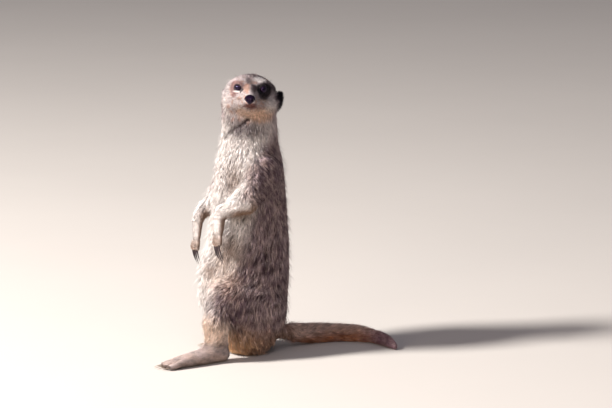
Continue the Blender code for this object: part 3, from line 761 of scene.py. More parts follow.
# painted shade in the fold down the left of the neck
NECK_FOLD = ((21.5, -9.0, 229.5), (15.6, -16.5, 221.8), (6.5, -21.6, 213.5), (0.0, -23.0, 208.0))
BODY_MARKS = (  # colour, weight, centre, radii and softness
    # painted shadow of the jaw on the neck
    ("fold", 0.80, (18, -8, 218), (13, 17, 9.5), 0.5),
    ("chest", 0.90, (19, -12, 206), (9, 9, 6), 0.5),
    # painted shade in the breast's hollows beside both arms
    ("under", 0.60, (19, -22, 169), (8, 9, 12), 0.7),
    ("under", 0.60, (-19, -22, 169), (8, 9, 12), 0.7),
    # painted shade under the left forearm
    ("under", 0.70, (28, -23, 140), (9, 14, 6), 0.5),
    # painted shade on the left of the belly
    ("under", 0.70, (21, -28, 101), (10, 14, 18), 0.6),
    ("throat", 0.35, (24, -34, 72), (16, 14, 16), 0.6),
    # painted shade in the hollow above the left knee
    ("under", 0.70, (11, -41, 84), (9, 10, 4), 0.5),
    # painted shade over the left knee
    ("flank", 0.40, (37, -28, 50), (8, 10, 14), 0.5),
    ("chest", 0.95, (2, -46, 54), (14, 11, 22), 0.5),
)


def body_marks(points, colour, paint):
    """The folds of the neck and the knee, and the darker and paler places of breast and belly; the neck's
    fold, the jaw's shadow and the darker places are painted shade.
    """
    for name, weight, centre, radii, edge in BODY_MARKS:
        colour = mix(colour, getattr(paint, name), blob(points, centre, radii, edge) * weight)
    golden = 0.8 * np.array(paint.chest) + 0.2 * np.array(paint.throat)
    colour = mix(colour, golden, line(points, KNEE_FOLD, 6.5) * 0.85)
    return mix(colour, paint.fold, line(points, NECK_FOLD, 3.4))


FLECK_WEIGHTS = (0.65, 0.42)  # of the dark flecks and the pale ones


def mark_skin(mesh, points, normals, regions, edges, scene):
    """Works out the marking and the grizzle of each point and keeps them on the mesh."""
    paint = scene.meerkat_colour
    colour, grizzle = body_colours(points, paint)
    for name, number in REGION.items():
        here = regions == number
        if name in HEAD_PARTS:
            colour[here], grizzle[here] = head_colours(points[here], paint)
        elif name.startswith("ear"):
            # painted sunlight glare: the front of the right ear pale
            pale = step(-9, -4, to_head(points[here])[:, 1]) * EAR_FRONT_GLARE[name]
            colour[here] = mix(plain(paint.patch, len(pale)), paint.cheek, pale)
            grizzle[here] = 0.0
        else:
            colour[here], grizzle[here] = limb_colours(
                name, points[here], normals[here], colour[here], grizzle[here], paint)
    both = relax(np.column_stack([colour, grizzle]), edges, 6)
    colour, grizzle = both[:, :3], both[:, 3]
    headed = among(regions, HEAD_PARTS)
    furry = grizzle * (1 - headed)
    for hair, share, weight in zip((paint.dark_hair, paint.light_hair), flecks(points), FLECK_WEIGHTS):
        colour = mix(colour, hair, share * furry * weight)
    dark, pale = bands(points)
    colour = mix(mix(colour, paint.dark_hair, dark), paint.nape, 0.75 * pale)
    grizzle = grizzle * (1 - 0.9 * dark - 0.35 * pale)
    colour[headed] = face_marks(points[headed], colour[headed], scene)
    limbed = among(regions, [name for name in FLESH if name.startswith(ARM_PARTS)])
    colour[~limbed] = body_marks(points[~limbed], colour[~limbed], paint)
    # painted shade in the grooves between the digits
    colour = mix(colour, paint.under, between_digits(points, regions) * 0.6)
    store(mesh, "marking", with_alpha(colour))
    store(mesh, "grizzle", grizzle[:, None])


# ------------------------------------------------------------------------------------------------
# Materials
# ------------------------------------------------------------------------------------------------


def new_material(name, roughness, specular=0.5):
    material = bpy.data.materials.new(name)
    material.use_nodes = True
    shader = material.node_tree.nodes["Principled BSDF"]
    shader.inputs["Roughness"].default_value = roughness
    shader.inputs["Specular IOR Level"].default_value = specular
    return material, material.node_tree, shader


def add_node(tree, kind, **inputs):
    """A node with some of its inputs set, by name, or by number as in_0."""
    made = tree.nodes.new(kind)
    for key, value in inputs.items():
        socket = int(key[3:]) if key.startswith("in_") else key.replace("_", " ")
        made.inputs[socket].default_value = value
    return made


def vary(tree, colour_socket, scale, amount, stretch=(1, 1, 1)):
    """The colour made lighter and darker by noise on object coordinates, and the noise itself."""
    place = tree.nodes.new("ShaderNodeTexCoord")
    mapping = add_node(tree, "ShaderNodeMapping", Scale=stretch)
    noise = add_node(tree, "ShaderNodeTexNoise", Scale=scale, Detail=4.0, Roughness=0.6)
    tone = add_node(tree, "ShaderNodeMapRange", To_Min=1 - amount, To_Max=1 + amount)
    scaled = tree.nodes.new("ShaderNodeVectorMath")
    scaled.operation = "SCALE"
    tree.links.new(place.outputs["Object"], mapping.inputs["Vector"])
    tree.links.new(mapping.outputs["Vector"], noise.inputs["Vector"])
    tree.links.new(noise.outputs["Fac"], tone.inputs["Value"])
    tree.links.new(colour_socket, scaled.inputs[0])
    tree.links.new(tone.outputs["Result"], scaled.inputs["Scale"])
    return scaled.outputs["Vector"], noise.outputs["Fac"]


def add_bump(tree, shader, height_socket, strength, distance):
    bump = add_node(tree, "ShaderNodeBump", Strength=strength, Distance=distance)
    tree.links.new(height_socket, bump.inputs["Height"])
    tree.links.new(bump.outputs["Normal"], shader.inputs["Normal"])


def attribute_colour(tree, name):
    found = tree.nodes.new("ShaderNodeAttribute")
    found.attribute_name = name
    return found.outputs["Color"]


def skin_material():
    """Marked like the coat, with the grain of short, flat hair."""
    material, tree, shader = new_material("skin", 0.7, 0.25)
    colour, grain = vary(tree, attribute_colour(tree, "marking"), 900, 0.22, (1, 1, 0.45))
    tree.links.new(colour, shader.inputs["Base Color"])
    add_bump(tree, shader, grain, 0.55, 0.0006)
    return material


def coat_material():
    """Each hair has its own colour, from its root to its tip."""
    material = bpy.data.materials.get("coat")
    if material:
        return material
    material, tree, shader = new_material("coat", 0.62, 0.08)
    shader.inputs["Subsurface Weight"].default_value = 0.12
    shader.inputs["Subsurface Scale"].default_value = 0.0015
    shader.inputs["Subsurface Radius"].default_value = (1.0, 0.85, 0.8)
    colour, _ = vary(tree, attribute_colour(tree, "marking"), 1500, 0.28, (1, 1, 0.16))
    tree.links.new(colour, shader.inputs["Base Color"])
    return material


def finish(obj, material):
    obj.data.materials.clear()
    obj.data.materials.append(material)
    obj.data.shade_smooth()


def copy_node(node, name):
    """A new object in the scene with its own copy of a CAD node's mesh."""
    copy = bpy.data.objects.new(name, frame["nodes"][node].data.copy())
    bpy.context.scene.collection.objects.link(copy)
    return copy


def merge(obj):
    """Joins a copied mesh's loose triangles into closed shells that point outward."""
    edit(obj,
         (bpy.ops.mesh.select_all, {"action": "SELECT"}),
         (bpy.ops.mesh.remove_doubles, {"threshold": 1e-6}),
         (bpy.ops.mesh.normals_make_consistent, {"inside": False}))


# ------------------------------------------------------------------------------------------------
# Skin
# ------------------------------------------------------------------------------------------------

SWELL = 0.4  # how far the flesh is swollen before it is remeshed, so that its pieces meet
SMOOTHINGS = (8, 3)  # after the remeshing, and after the face is refined


def join_flesh():
    """One object from copies of the flesh, with the eyes and nose that fill its sockets."""
    deselect()
    copies = []
    for name in FLESH + ["eye_left", "eye_right", "nose"]:
        copy = copy_node(name, f"flesh_{name}")
        copy.select_set(True)
        copies.append(copy)
    bpy.context.view_layer.objects.active = copies[0]
    bpy.ops.object.join()
    skin = copies[0]
    skin.name = skin.data.name = "skin"
    merge(skin)
    return skin


def nearest_regions(points):
    """The flesh that each point is nearest to, by its number."""
    corners, faces, owners = [], [], []
    for name in FLESH:
        mesh = frame["nodes"][name].data
        first = len(corners)
        corners += [vertex.co / MM for vertex in mesh.vertices]
        faces += [[first + k for k in face.vertices] for face in mesh.polygons]
        owners += [REGION[name]] * len(mesh.polygons)
    tree = BVHTree.FromPolygons(corners, faces)
    return np.array([owners[tree.find_nearest(Vector(point))[2]] for point in points])


SHORT_HAIRED = [name for name in FLESH if name in HEAD_PARTS or name.startswith(("ear", "hand", "foot"))]


def thin_body(skin, share):
    """Simplifies the skin where long fur hides it."""
    below_fur = ~among(nearest_regions(points_of(skin.data)), SHORT_HAIRED)
    hidden = skin.vertex_groups.new(name="hidden")
    hidden.add(np.flatnonzero(below_fur).tolist(), 1.0, "REPLACE")
    apply_modifier(skin, "TRIANGULATE")
    apply_modifier(skin, "DECIMATE", ratio=1 - below_fur.mean() * (1 - share), vertex_group="hidden")
    skin.vertex_groups.clear()


def refine(skin, chosen):
    """Halves the edges of the chosen faces."""
    bpy.context.tool_settings.mesh_select_mode = (False, False, True)
    select_faces(skin.data, chosen)
    edit(skin,
         (bpy.ops.mesh.subdivide, {"number_cuts": 1}),
         (bpy.ops.mesh.select_all, {"action": "SELECT"}),
         (bpy.ops.mesh.quads_convert_to_tris, {}))


def near_eyes(local, reach):
    return np.minimum(*(np.linalg.norm(local - centre, axis=1) for centre in EYE_CENTRES.values())) < reach


def refine_face(skin):
    """Finer towards the eyes, the mouth and the nose."""
    local = to_head(face_centres(skin.data))
    refine(skin, (local[:, 1] > 8) & (local[:, 2] > -24) & (np.linalg.norm(local, axis=1) < 60))
    local = to_head(face_centres(skin.data))
    refine(skin, near_eyes(local, 8.5) | ((local[:, 1] > 33) & (local[:, 2] > -22)))


def eye_axes(side, gaze):
    """The eye's own directions in the head's frame: towards its outer corner, forward and up."""
    forward = np.array([SIGN[side] * sin(gaze), cos(gaze), 0.0])
    outward = np.array([SIGN[side] * cos(gaze), -sin(gaze), 0.0])
    return outward, forward, np.array([0.0, 0.0, 1.0])


def eye_radius():
    low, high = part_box("eye_left")
    return (high.z - low.z) / 2 / MM


LID_SLANT = 0.12  # how much the eye's opening rises towards its outer corner
LOWER_LID = 0.88  # the lower lid's gap, against the upper lid's


def lid_place(local, side, centre, options, gaze):
    """How far out each point lies from the middle of an eye's opening, which is 1 at the lids' edge."""
    outward, forward, up = eye_axes(side, gaze)
    away = unit(local - centre)
    across = np.arctan2(away @ outward, away @ forward)
    height = np.arcsin(np.clip(away @ up, -1, 1)) - LID_SLANT * across
    tall = np.where(height > 0, options.lid_gap, LOWER_LID * options.lid_gap)
    return np.hypot(across / options.lid_width, height / tall)


LID_ROLL = ((0.86, 0.98, 1.06, 1.22, 1.42), (-0.9, -0.1, 0.75, 1.0, 0.55))  # lid place, and height there
LID_EDGE_ROLL = 0.75  # the height at the lid's edge


def shape_lids(local, options, gaze):
    """Opens the skin over each eye in an almond, between a rolled upper and lower lid."""
    radius = eye_radius()
    for side, centre in EYE_CENTRES.items():
        _, forward, _ = eye_axes(side, gaze)
        reach = np.linalg.norm(local - centre, axis=1)
        near = np.flatnonzero((reach < radius + 4.5) & ((local - centre) @ forward > 0))
        inside = lid_place(local[near], side, centre, options, gaze)
        rolled = np.interp(inside, *LID_ROLL)
        target = radius + rolled * options.lid_height / LID_EDGE_ROLL
        hold = 1 - step(1.25, 1.7, inside)
        target = target * hold + reach[near] * (1 - hold)
        local[near] = centre + (local[near] - centre) / reach[near, None] * target[:, None]
    return local


def lid_share(local, low, high, options, gaze):
    """1 in front of the eyes' openings, falling to 0 between the given lid places."""
    share = np.zeros(len(local))
    for side, centre in EYE_CENTRES.items():
        close = np.linalg.norm(local - centre, axis=1) < eye_radius() + 5
        share = np.maximum(share, close * step(high, low, lid_place(local, side, centre, options, gaze)))
    return share


def bare(points, scene):
    """Whether each point lies in front of an eye or on the nose, where no hair grows."""
    local = to_head(points)
    on_nose = np.linalg.norm((local - NOSE_MIDDLE) / (NOSE_SIZE + 0.3), axis=1) < 1
    return on_nose | (lid_share(local, 1.05, 1.051, scene.meerkat_skin, scene.meerkat_eye.gaze) > 0.5)


def carve_face(local, normals, options):
    """Presses in the line of the mouth, the groove below the nose and the seat of the nose."""
    groove = mouth_line(local) * options.mouth_depth
    below_nose = blob(local, (0, 43, -13.6), (0.8, 4, 1.8), 0.6) * 0.5
    seat = blob(local, (0, 46.5, -10.2), (4.2, 4.4, 3.6), 0.25) * 1.5
    return local - normals * (groove + below_nose + seat)[:, None]


def between_digits(points, regions):
    """1 in the grooves between the digits of each paw, and 0 elsewhere."""
    groove = np.zeros(len(points))
    for paw, length in DIGIT_LENGTH.items():
        for side in SIDES:
            here = regions == REGION[f"{paw}_{side}"]
            roots = [claw_root(paw, side, digit) for digit in DIGITS]
            back = unit((middle(f"{paw}_{side}") - sum(roots) / len(roots))[None])[0]
            for one, other in zip(roots, roots[1:]):
                start = (one + other) / 2
                offset = points[here] - start
                across = unit((other - one)[None])[0]
                along = offset @ back
                off = np.abs(offset @ (across - back * (across @ back)))
                depth = (1 - step(0.25, 1.1, off)) * (1 - step(0.4 * length, length, along))
                groove[here] = np.maximum(groove[here], depth)
    return groove


def press_folds(points, normals):
    """Presses in the fold of the neck and the hollow of the breast beside the left arm."""
    fold = line(points, NECK_FOLD, 4.2) * 2.6
    hollow = blob(points, (19, -22, 169), (8, 9, 12), 0.8) * 2.0
    return points - normals * (fold + hollow)[:, None]


class MEERKAT_OT_skin(bpy.types.Operator):
    """Makes the one skin that stands for all the flesh, inside it by the depth of the coat"""
    bl_idname = "meerkat.skin"
    bl_label = "Skin"

    def execute(self, context):
        options = context.scene.meerkat_skin
        skin = join_flesh()
        apply_modifier(skin, "DISPLACE", strength=SWELL * MM, mid_level=0.0)
        apply_modifier(skin, "REMESH", mode="VOXEL", voxel_size=options.voxel * MM)
        apply_modifier(skin, "SMOOTH", factor=0.5, iterations=SMOOTHINGS[0])
        thin_body(skin, options.body_share)
        refine_face(skin)
        apply_modifier(skin, "SMOOTH", factor=0.5, iterations=SMOOTHINGS[1])
        mesh = skin.data
        edges = edges_of(mesh)
        points = points_of(mesh)
        regions = nearest_regions(points)
        depth = relax(depth_of_coat(points, regions)[:, None], edges, 12)
        inward = unit(relax(normals_of(mesh), edges, 4))
        points = press_folds(points - inward * (depth + SWELL), inward)
        points -= inward * between_digits(points, regions)[:, None] * DIGIT_GROOVE
        set_points(mesh, points)
        local = to_head(points)
        headed = among(regions, HEAD_PARTS)
        normals = normals_of(mesh) @ HEAD_AXES
        local[headed] = carve_face(local[headed], normals[headed], options)
        local[headed] = shape_lids(local[headed], options, context.scene.meerkat_eye.gaze)
        points[headed] = from_head(local[headed]) + HEAD_CENTRE
        set_points(mesh, points)
        normals = normals_of(mesh)
        lie = flat(relax(lie_of_coat(points, regions), edges, 14), normals)
        store(mesh, "lie", lie)
        store(mesh, "depth", depth)
        store(mesh, "region", regions[:, None].astype(float))
        mark_skin(mesh, points, normals, regions, edges, context.scene)
        finish(skin, skin_material())
        ride(skin, "coat_pale", *FLESH)
        return {"FINISHED"}


# ------------------------------------------------------------------------------------------------
# Eyes, nose, claws and whiskers
# ------------------------------------------------------------------------------------------------


def add_ball(name, segments, rings):
    """A unit ball in the middle of the scene, to be shaped by its points."""
    deselect()
    bpy.ops.mesh.primitive_uv_sphere_add(segments=segments, ring_count=rings, radius=1.0)
    made = bpy.context.object
    made.name = made.data.name = name
    return made


def unit_points(mesh):
    return points_of(mesh) * MM


def eye_material(options):
    """A black pupil in a dark iris, varied by fine noise, under a wet, clear surface."""
    material, tree, shader = new_material("eye", 0.05, 0.35)
    ring = tree.nodes.new("ShaderNodeAttribute")
    ring.attribute_name = "ring"
    ramp = tree.nodes.new("ShaderNodeValToRGB")
    pupil, iris = options.pupil / (pi / 2), options.iris / (pi / 2)
    colour = np.array(options.colour)
    stops = ((0.0, colour * 0.03), (pupil, colour * 0.03), (pupil + 0.03, colour * 0.7),
             ((pupil + iris) / 2, colour), (iris, colour * 0.35), (iris + 0.05, colour * 0.12))
    while len(ramp.color_ramp.elements) < len(stops):
        ramp.color_ramp.elements.new(1.0)
    for element, (place, value) in zip(ramp.color_ramp.elements, stops):
        element.position = place
        element.color = (*value, 1.0)
    tree.links.new(ring.outputs["Fac"], ramp.inputs["Fac"])
    shaded, _ = vary(tree, ramp.outputs["Color"], 1400, 0.3)
    tree.links.new(shaded, shader.inputs["Base Color"])
    shader.inputs["Specular Tint"].default_value = (0.60, 0.46, 1.0, 1.0)
    return material


CORNEA = 0.22  # how far the middle of the cornea stands out


class MEERKAT_OT_eyes(bpy.types.Operator):
    """Makes both eyeballs, each with a cornea that stands a little proud"""
    bl_idname = "meerkat.eyes"
    bl_label = "Eyes"

    def execute(self, context):
        options = context.scene.meerkat_eye
        material = eye_material(options)
        for side, centre in EYE_CENTRES.items():
            ball = add_ball(f"eyeball_{side}", 48, 32)
            away = unit_points(ball.data)
            _, forward, _ = eye_axes(side, options.gaze)
            turn = np.array(Vector((0, 0, 1)).rotation_difference(Vector(forward)).to_matrix())
            away = unit(away @ turn.T)
            angle = np.arccos(np.clip(away @ forward, -1, 1))
            bulge = CORNEA * (1 - step(0, 0.85, angle))
            local = centre + away * (eye_radius() + bulge)[:, None]
            set_points(ball.data, from_head(local) + HEAD_CENTRE)
            store(ball.data, "ring", (angle / (pi / 2))[:, None])
            finish(ball, material)
            ride(ball, "eye", f"eye_{side}")
        return {"FINISHED"}


def nose_material():
    """Dark, moist, pebbled skin."""
    material, tree, shader = new_material("bare_nose", 0.13, 0.2)
    base = tree.nodes.new("ShaderNodeRGB")
    base.outputs[0].default_value = (0.005, 0.002, 0.008, 1.0)
    shader.inputs["Specular Tint"].default_value = (0.80, 0.62, 1.0, 1.0)
    colour, _ = vary(tree, base.outputs[0], 500, 0.3)
    tree.links.new(colour, shader.inputs["Base Color"])
    place = tree.nodes.new("ShaderNodeTexCoord")
    pebbles = add_node(tree, "ShaderNodeTexVoronoi", Scale=2600.0)
    tree.links.new(place.outputs["Object"], pebbles.inputs["Vector"])
    add_bump(tree, shader, pebbles.outputs["Distance"], 0.25, 0.0002)
    return material


class MEERKAT_OT_nose(bpy.types.Operator):
    """Makes the bare nose, with its nostrils and the groove between them"""
    bl_idname = "meerkat.nose"
    bl_label = "Nose"

    def execute(self, context):
        nose = add_ball("nose_pad", 96, 64)
        away = unit(unit_points(nose.data))
        x, y, z = away.T
        narrow = 1 - 0.5 * step(0.0, -1.0, z)
        local = away * NOSE_SIZE
        local[:, 0] *= narrow
        local[:, 2] = np.where(z > 0, local[:, 2] * 0.92, local[:, 2])
        local[:, 1] += 0.35 * step(0.2, 1.0, y) * step(0.9, 0.0, np.abs(z + 0.1))
        folded = mirrored(local)
        pit = blob(folded, NOSTRIL, (1.15, 2.2, 0.95), 0.45)
        slit = blob(folded, NOSTRIL + (1.5, -0.6, -0.35), (1.6, 2.4, 0.42), 0.5)
        wing = blob(folded, NOSTRIL + (0.5, 0.0, 1.0), (1.9, 2.0, 0.8), 0.6)
        groove = step(0.75, 0.1, np.abs(local[:, 0])) * step(0.8, -0.4, local[:, 2])
        groove *= step(0, 1, local[:, 1])
        depth = 1.5 * np.maximum(pit, 0.75 * slit) + 0.45 * groove - 0.22 * wing
        inward = away * depth[:, None]
        set_points(nose.data, from_head(local - inward + NOSE_MIDDLE) + HEAD_CENTRE)
        finish(nose, nose_material())
        ride(nose, "bare_nose", "nose")
        return {"FINISHED"}


HORN_COLOURS = (  # at the root and at the tip
    ("hand", (0.05, 0.03, 0.035), (0.012, 0.008, 0.014)),
    ("foot", (0.10, 0.07, 0.055), (0.42, 0.33, 0.26)),
)
HORN_THINNING = 0.22  # how far a claw is drawn in all round


def claw_material():
    """Horn with a lengthwise grain."""
    material, tree, shader = new_material("claw", 0.32, 0.5)
    colour, grain = vary(tree, attribute_colour(tree, "marking"), 700, 0.3, (1, 1, 0.3))
    tree.links.new(colour, shader.inputs["Base Color"])
    add_bump(tree, shader, grain, 0.2, 0.0002)
    return material


class MEERKAT_OT_claws(bpy.types.Operator):
    """Rounds the claws of each paw, thins them a little and grades them from root to tip"""
    bl_idname = "meerkat.claws"
    bl_label = "Claws"

    def execute(self, context):
        material = claw_material()
        for paw, root_colour, tip_colour in HORN_COLOURS:
            for side in SIDES:
                for digit in DIGITS:
                    node = f"claw_{paw}_{side}_{digit}"
                    claw = copy_node(node, f"horn_{paw}_{side}_{digit}")
                    merge(claw)
                    apply_modifier(claw, "SUBSURF", levels=2, render_levels=2)
                    apply_modifier(claw, "DISPLACE", strength=-HORN_THINNING * MM, mid_level=0.0)
                    self.grade(claw, paw, side, root_colour, tip_colour)
                    finish(claw, material)
                    ride(claw, "claw", node)
        return {"FINISHED"}

    def grade(self, claw, paw, side, root_colour, tip_colour):
        points = points_of(claw.data)
        reach = np.linalg.norm(points - middle(f"{paw}_{side}"), axis=1)
        share = step(reach.min(), reach.max(), reach)
        colours = mix(plain(root_colour, len(points)), tip_colour, share)
        store(claw.data, "marking", with_alpha(colours))


def hair_tube(route, radius):
    """Points and triangles of a fine closed tube that tapers to nothing along the route."""
    sides = 4
    corners = []
    for k, point in enumerate(route[:-1]):
        way = unit((route[k + 1] - point)[None])[0]
        across = unit(np.cross(way, (0.31, 0.22, 0.93))[None])[0]
        up = np.cross(way, across)
        thin = radius * (1 - k / (len(route) - 1)) ** 0.8
        for j in range(sides):
            turn = 2 * pi * j / sides
            corners.append(point + thin * (across * cos(turn) + up * sin(turn)))
    tip = len(corners)
    corners.append(route[-1])
    faces = [(0, 2, 1), (0, 3, 2)]
    for k in range(len(route) - 2):
        for j in range(sides):
            a, b = k * sides + j, k * sides + (j + 1) % sides
            faces += [(a, b, b + sides), (a, b + sides, a + sides)]
    last = (len(route) - 2) * sides
    faces += [(last + j, last + (j + 1) % sides, tip) for j in range(sides)]
    return np.array(corners), np.array(faces)


def mesh_from(name, points, triangles):
    """A new object in the scene from points in millimetres and rows of three corners."""
    mesh = bpy.data.meshes.new(name)
    mesh.vertices.add(len(points))
    mesh.vertices.foreach_set("co", (points * MM).astype(np.float32).ravel())
    mesh.loops.add(triangles.size)
    mesh.loops.foreach_set("vertex_index", triangles.astype(np.int32).ravel())
    mesh.polygons.add(len(triangles))
    mesh.polygons.foreach_set("loop_start", np.arange(0, triangles.size, 3, dtype=np.int32))
    mesh.update(calc_edges=True)
    made = bpy.data.objects.new(name, mesh)
    bpy.context.scene.collection.objects.link(made)
    return made


WHISKER_ROWS = (  # height, forward place and number of each row on a cheek pad, in the head's frame
    (-10.5, 36.0, 4),
    (-12.3, 34.8, 4),
    (-14.0, 34.0, 3),
)
BROW_HAIRS = ((9.0, 17.5, 7.0), (11.0, 16.5, 7.4), (13.0, 15.0, 6.6))
WHISKER_COLOUR = (0.16, 0.11, 0.085)
WHISKER_BENDS = 8  # points along each


class MEERKAT_OT_whiskers(bpy.types.Operator):
    """Makes the whiskers of the lips and brows"""
    bl_idname = "meerkat.whiskers"
    bl_label = "Whiskers"

    def execute(self, context):
        options = context.scene.meerkat_whisker
        rng = np.random.default_rng(context.scene.meerkat_coat.seed + 1)
        tree = BVHTree.FromObject(bpy.data.objects["skin"], context.evaluated_depsgraph_get())
        points, faces, count = [], [], 0
        for side in SIDES:
            for root, way, length in self.hairs(side, options, rng):
                place = from_head(root) + HEAD_CENTRE
                start = np.array(tree.find_nearest(Vector(place * MM))[0]) / MM
                out = from_head(way)
                bend = DOWN * 0.35 * length + from_head((0, -0.25, 0)) * length
                shares = np.linspace(-0.03, 1, WHISKER_BENDS)
                route = [start + out * length * s + bend * max(s, 0) ** 2 * 0.5 for s in shares]
                corners, triangles = hair_tube(route, options.radius)
                points.append(corners)
                faces.append(triangles + count)
                count += len(corners)
        whiskers = mesh_from("whiskers", np.concatenate(points), np.concatenate(faces))
        colours = plain(WHISKER_COLOUR, count)
        store(whiskers.data, "marking", with_alpha(colours))
        finish(whiskers, coat_material())
        ride(whiskers, "coat_dark")
        return {"FINISHED"}

    def hairs(self, side, options, rng):
        """Each whisker's root, direction and length, in the head's frame."""
        sign = SIGN[side]
        for height, forward, number in WHISKER_ROWS:
            for k in range(number):
                back = 2.4 * k
                root = np.array([sign * (4.2 + 0.9 * k), forward - back, height - 0.3 * k])
                way = np.array([sign * (0.9 + 0.1 * k), 0.35 - 0.32 * k, rng.uniform(-0.25, 0.15)])
                length = options.length * (0.6 + 0.12 * k) * rng.uniform(0.85, 1.0)
                yield root, way / np.linalg.norm(way), length
        for x, y, z in BROW_HAIRS:
            way = np.array([sign * 0.45, 0.5, 0.75]) + rng.uniform(-0.12, 0.12, 3)
            yield np.array([sign * x, y, z]), way / np.linalg.norm(way), options.length * 0.45


# ------------------------------------------------------------------------------------------------
# Coat
# ------------------------------------------------------------------------------------------------


class SkinMap:
    """The skin's mesh and what is kept on it, as arrays."""

    def __init__(self, skin):
        mesh = skin.data
        mesh.calc_loop_triangles()
        corners = np.empty(len(mesh.loop_triangles) * 3, np.int32)
        mesh.loop_triangles.foreach_get("vertices", corners)
        self.corners = corners.reshape(-1, 3)
        self.points = points_of(mesh)
        self.normals = normals_of(mesh)
        self.lie = read(mesh, "lie", 3)
        self.depth = read(mesh, "depth", 1)[:, 0]
        self.marking = read(mesh, "marking", 4)[:, :3]
        self.grizzle = read(mesh, "grizzle", 1)[:, 0]
        self.region = np.rint(read(mesh, "region", 1)[:, 0]).astype(int)
        self.tree = BVHTree.FromPolygons(self.points.tolist(), self.corners.tolist())

    def faces_of(self, names):
        """The faces whose first corner lies in one of the named regions."""
        return among(self.region[self.corners[:, 0]], names)


FLUFF = (1.7, 2.7, 2.0, 2.4, 1.3)  # of knees, tail, left ear, head behind it, and fingertips


def fluff(points):
    """How much further the coat stands out on knees, tail, left ear, the head behind it, and fingertips."""
    knees = blob(points, (2, -43, 68), (40, 15, 28), 0.6)
    tail = blob(points, (-14, 90, 10), (16, 44, 14), 0.5)
    ear = blob(points, middle("ear_left"), (10, 9, 12), 0.5)
    behind = blob(to_head(points), (-25, -5, 2), (8, 9, 9), 0.5)
    fingers = np.zeros(len(points))
    for side in SIDES:
        for digit in DIGITS:
            fingers = np.maximum(fingers, blob(points, claw_root("hand", side, digit), (3, 3, 3), 0.5))
    places = (knees, tail, ear, behind, fingers)
    return np.maximum.reduce([amount * place for amount, place in zip(FLUFF, places)])


def hair_length(depth):
    return 0.9 + 2.3 * depth


def hair_width(depth):
    return 0.19 + 0.095 * depth


def scatter(skin, faces, crowding, rng):
    """Evenly spread roots: for each, its face and its weights at that face's corners."""
    corners = skin.corners[faces]
    a, b, c = (skin.points[corners[:, k]] for k in range(3))
    area = np.linalg.norm(np.cross(b - a, c - a), axis=1) / 2
    depth = skin.depth[corners].mean(axis=1)
    per_area = crowding / (hair_length(depth) * hair_width(depth))
    ends = np.cumsum(area * per_area)
    picks = np.arange(rng.uniform(0, 1), ends[-1], 1.0)
    chosen = corners[np.searchsorted(ends, picks)]
    u, v = rng.uniform(size=(2, len(chosen)))
    over = u + v > 1
    u, v = np.where(over, 1 - u, u), np.where(over, 1 - v, v)
    return chosen, np.column_stack([1 - u - v, u, v])


def blend_corners(values, chosen, weights):
    """Each root's value from the three corners of its face."""
    if values.ndim == 1:
        return np.sum(values[chosen] * weights, axis=1)
    return np.einsum("nkc,nk->nc", values[chosen], weights)


def onto_skin(skin, points, heights):
    """The points moved to the given heights over the skin below them, and the markings there."""
    places, normals = np.empty_like(points), np.empty_like(points)
    faces = np.empty(len(points), int)
    for k, point in enumerate(points.tolist()):
        places[k], normals[k], faces[k], _ = skin.tree.find_nearest(point)
    corners = skin.corners[faces]
    a, b, c = (skin.points[corners[:, k]] for k in range(3))
    across = np.cross(b - a, c - a)
    size = np.maximum(np.sum(across * across, axis=1), 1e-12)
    v = np.sum(np.cross(places - a, c - a) * across, axis=1) / size
    w = np.sum(np.cross(b - a, places - a) * across, axis=1) / size
    markings = blend_corners(skin.marking, corners, np.column_stack([1 - v - w, v, w]))
    return places + normals * heights[:, None], markings


LOCK_STRETCH = 0.6  # how much distances along the lie are shortened, so that locks are long


def locks_of(roots, lie, every, rng):
    """Some leaders among the roots, and for each root the number of its nearest leader."""
    common = lie.mean(axis=0)
    places = roots - LOCK_STRETCH * (roots @ common)[:, None] * common
    leaders = rng.choice(len(roots), max(1, len(roots) // every), replace=False)
    tree = KDTree(len(leaders))
    for k, leader in enumerate(leaders):
        tree.insert(places[leader], k)
    tree.balance()
    nearest = np.array([tree.find(place)[1] for place in places.tolist()])
    return leaders, nearest


LOCK_TONE, HAIR_TONE = 0.18, 0.14  # how far locks, and hairs in a lock, differ in brightness
HAIR_CHANCE = 0.07  # how far hairs in a lock differ in being dark or light
ROOT_SHADE = 0.5  # how bright a hair's root is against the skin's marking: painted shade deep in the coat
TIP_TONE = 1.06  # and its tip


def hair_colours(marking, middle_marking, tip_marking, grizzle, nearest, number, paint, rng):
    """Each tuft's colour at its root, its middle and its tip; the root is darkened as painted shade."""
    tone = rng.normal(size=number)[nearest] * LOCK_TONE + rng.normal(size=len(nearest)) * HAIR_TONE
    chance = rng.uniform(size=number)[nearest] + rng.normal(size=len(nearest)) * HAIR_CHANCE
    dark = step(0.50, 0.36, chance) * grizzle
    light = step(0.60, 0.80, chance) * grizzle
    middle_colour = middle_marking * (1 + tone)[:, None]
    middle_colour = mix(middle_colour, paint.light_hair, 0.4 * light)
    middle_colour = mix(middle_colour, paint.dark_hair, 0.45 * dark)
    tip_colour = tip_marking * (TIP_TONE + tone)[:, None]
    tip_colour = mix(tip_colour, paint.light_hair, 0.7 * light)
    tip_colour = mix(tip_colour, paint.dark_hair, 0.85 * dark)
    return marking * ROOT_SHADE, middle_colour, tip_colour


TUFT_ANGLES = (pi / 2, pi / 2 + 2 * pi / 3, pi / 2 + 4 * pi / 3)
FLATNESS = 0.55  # a tuft's thickness against its width


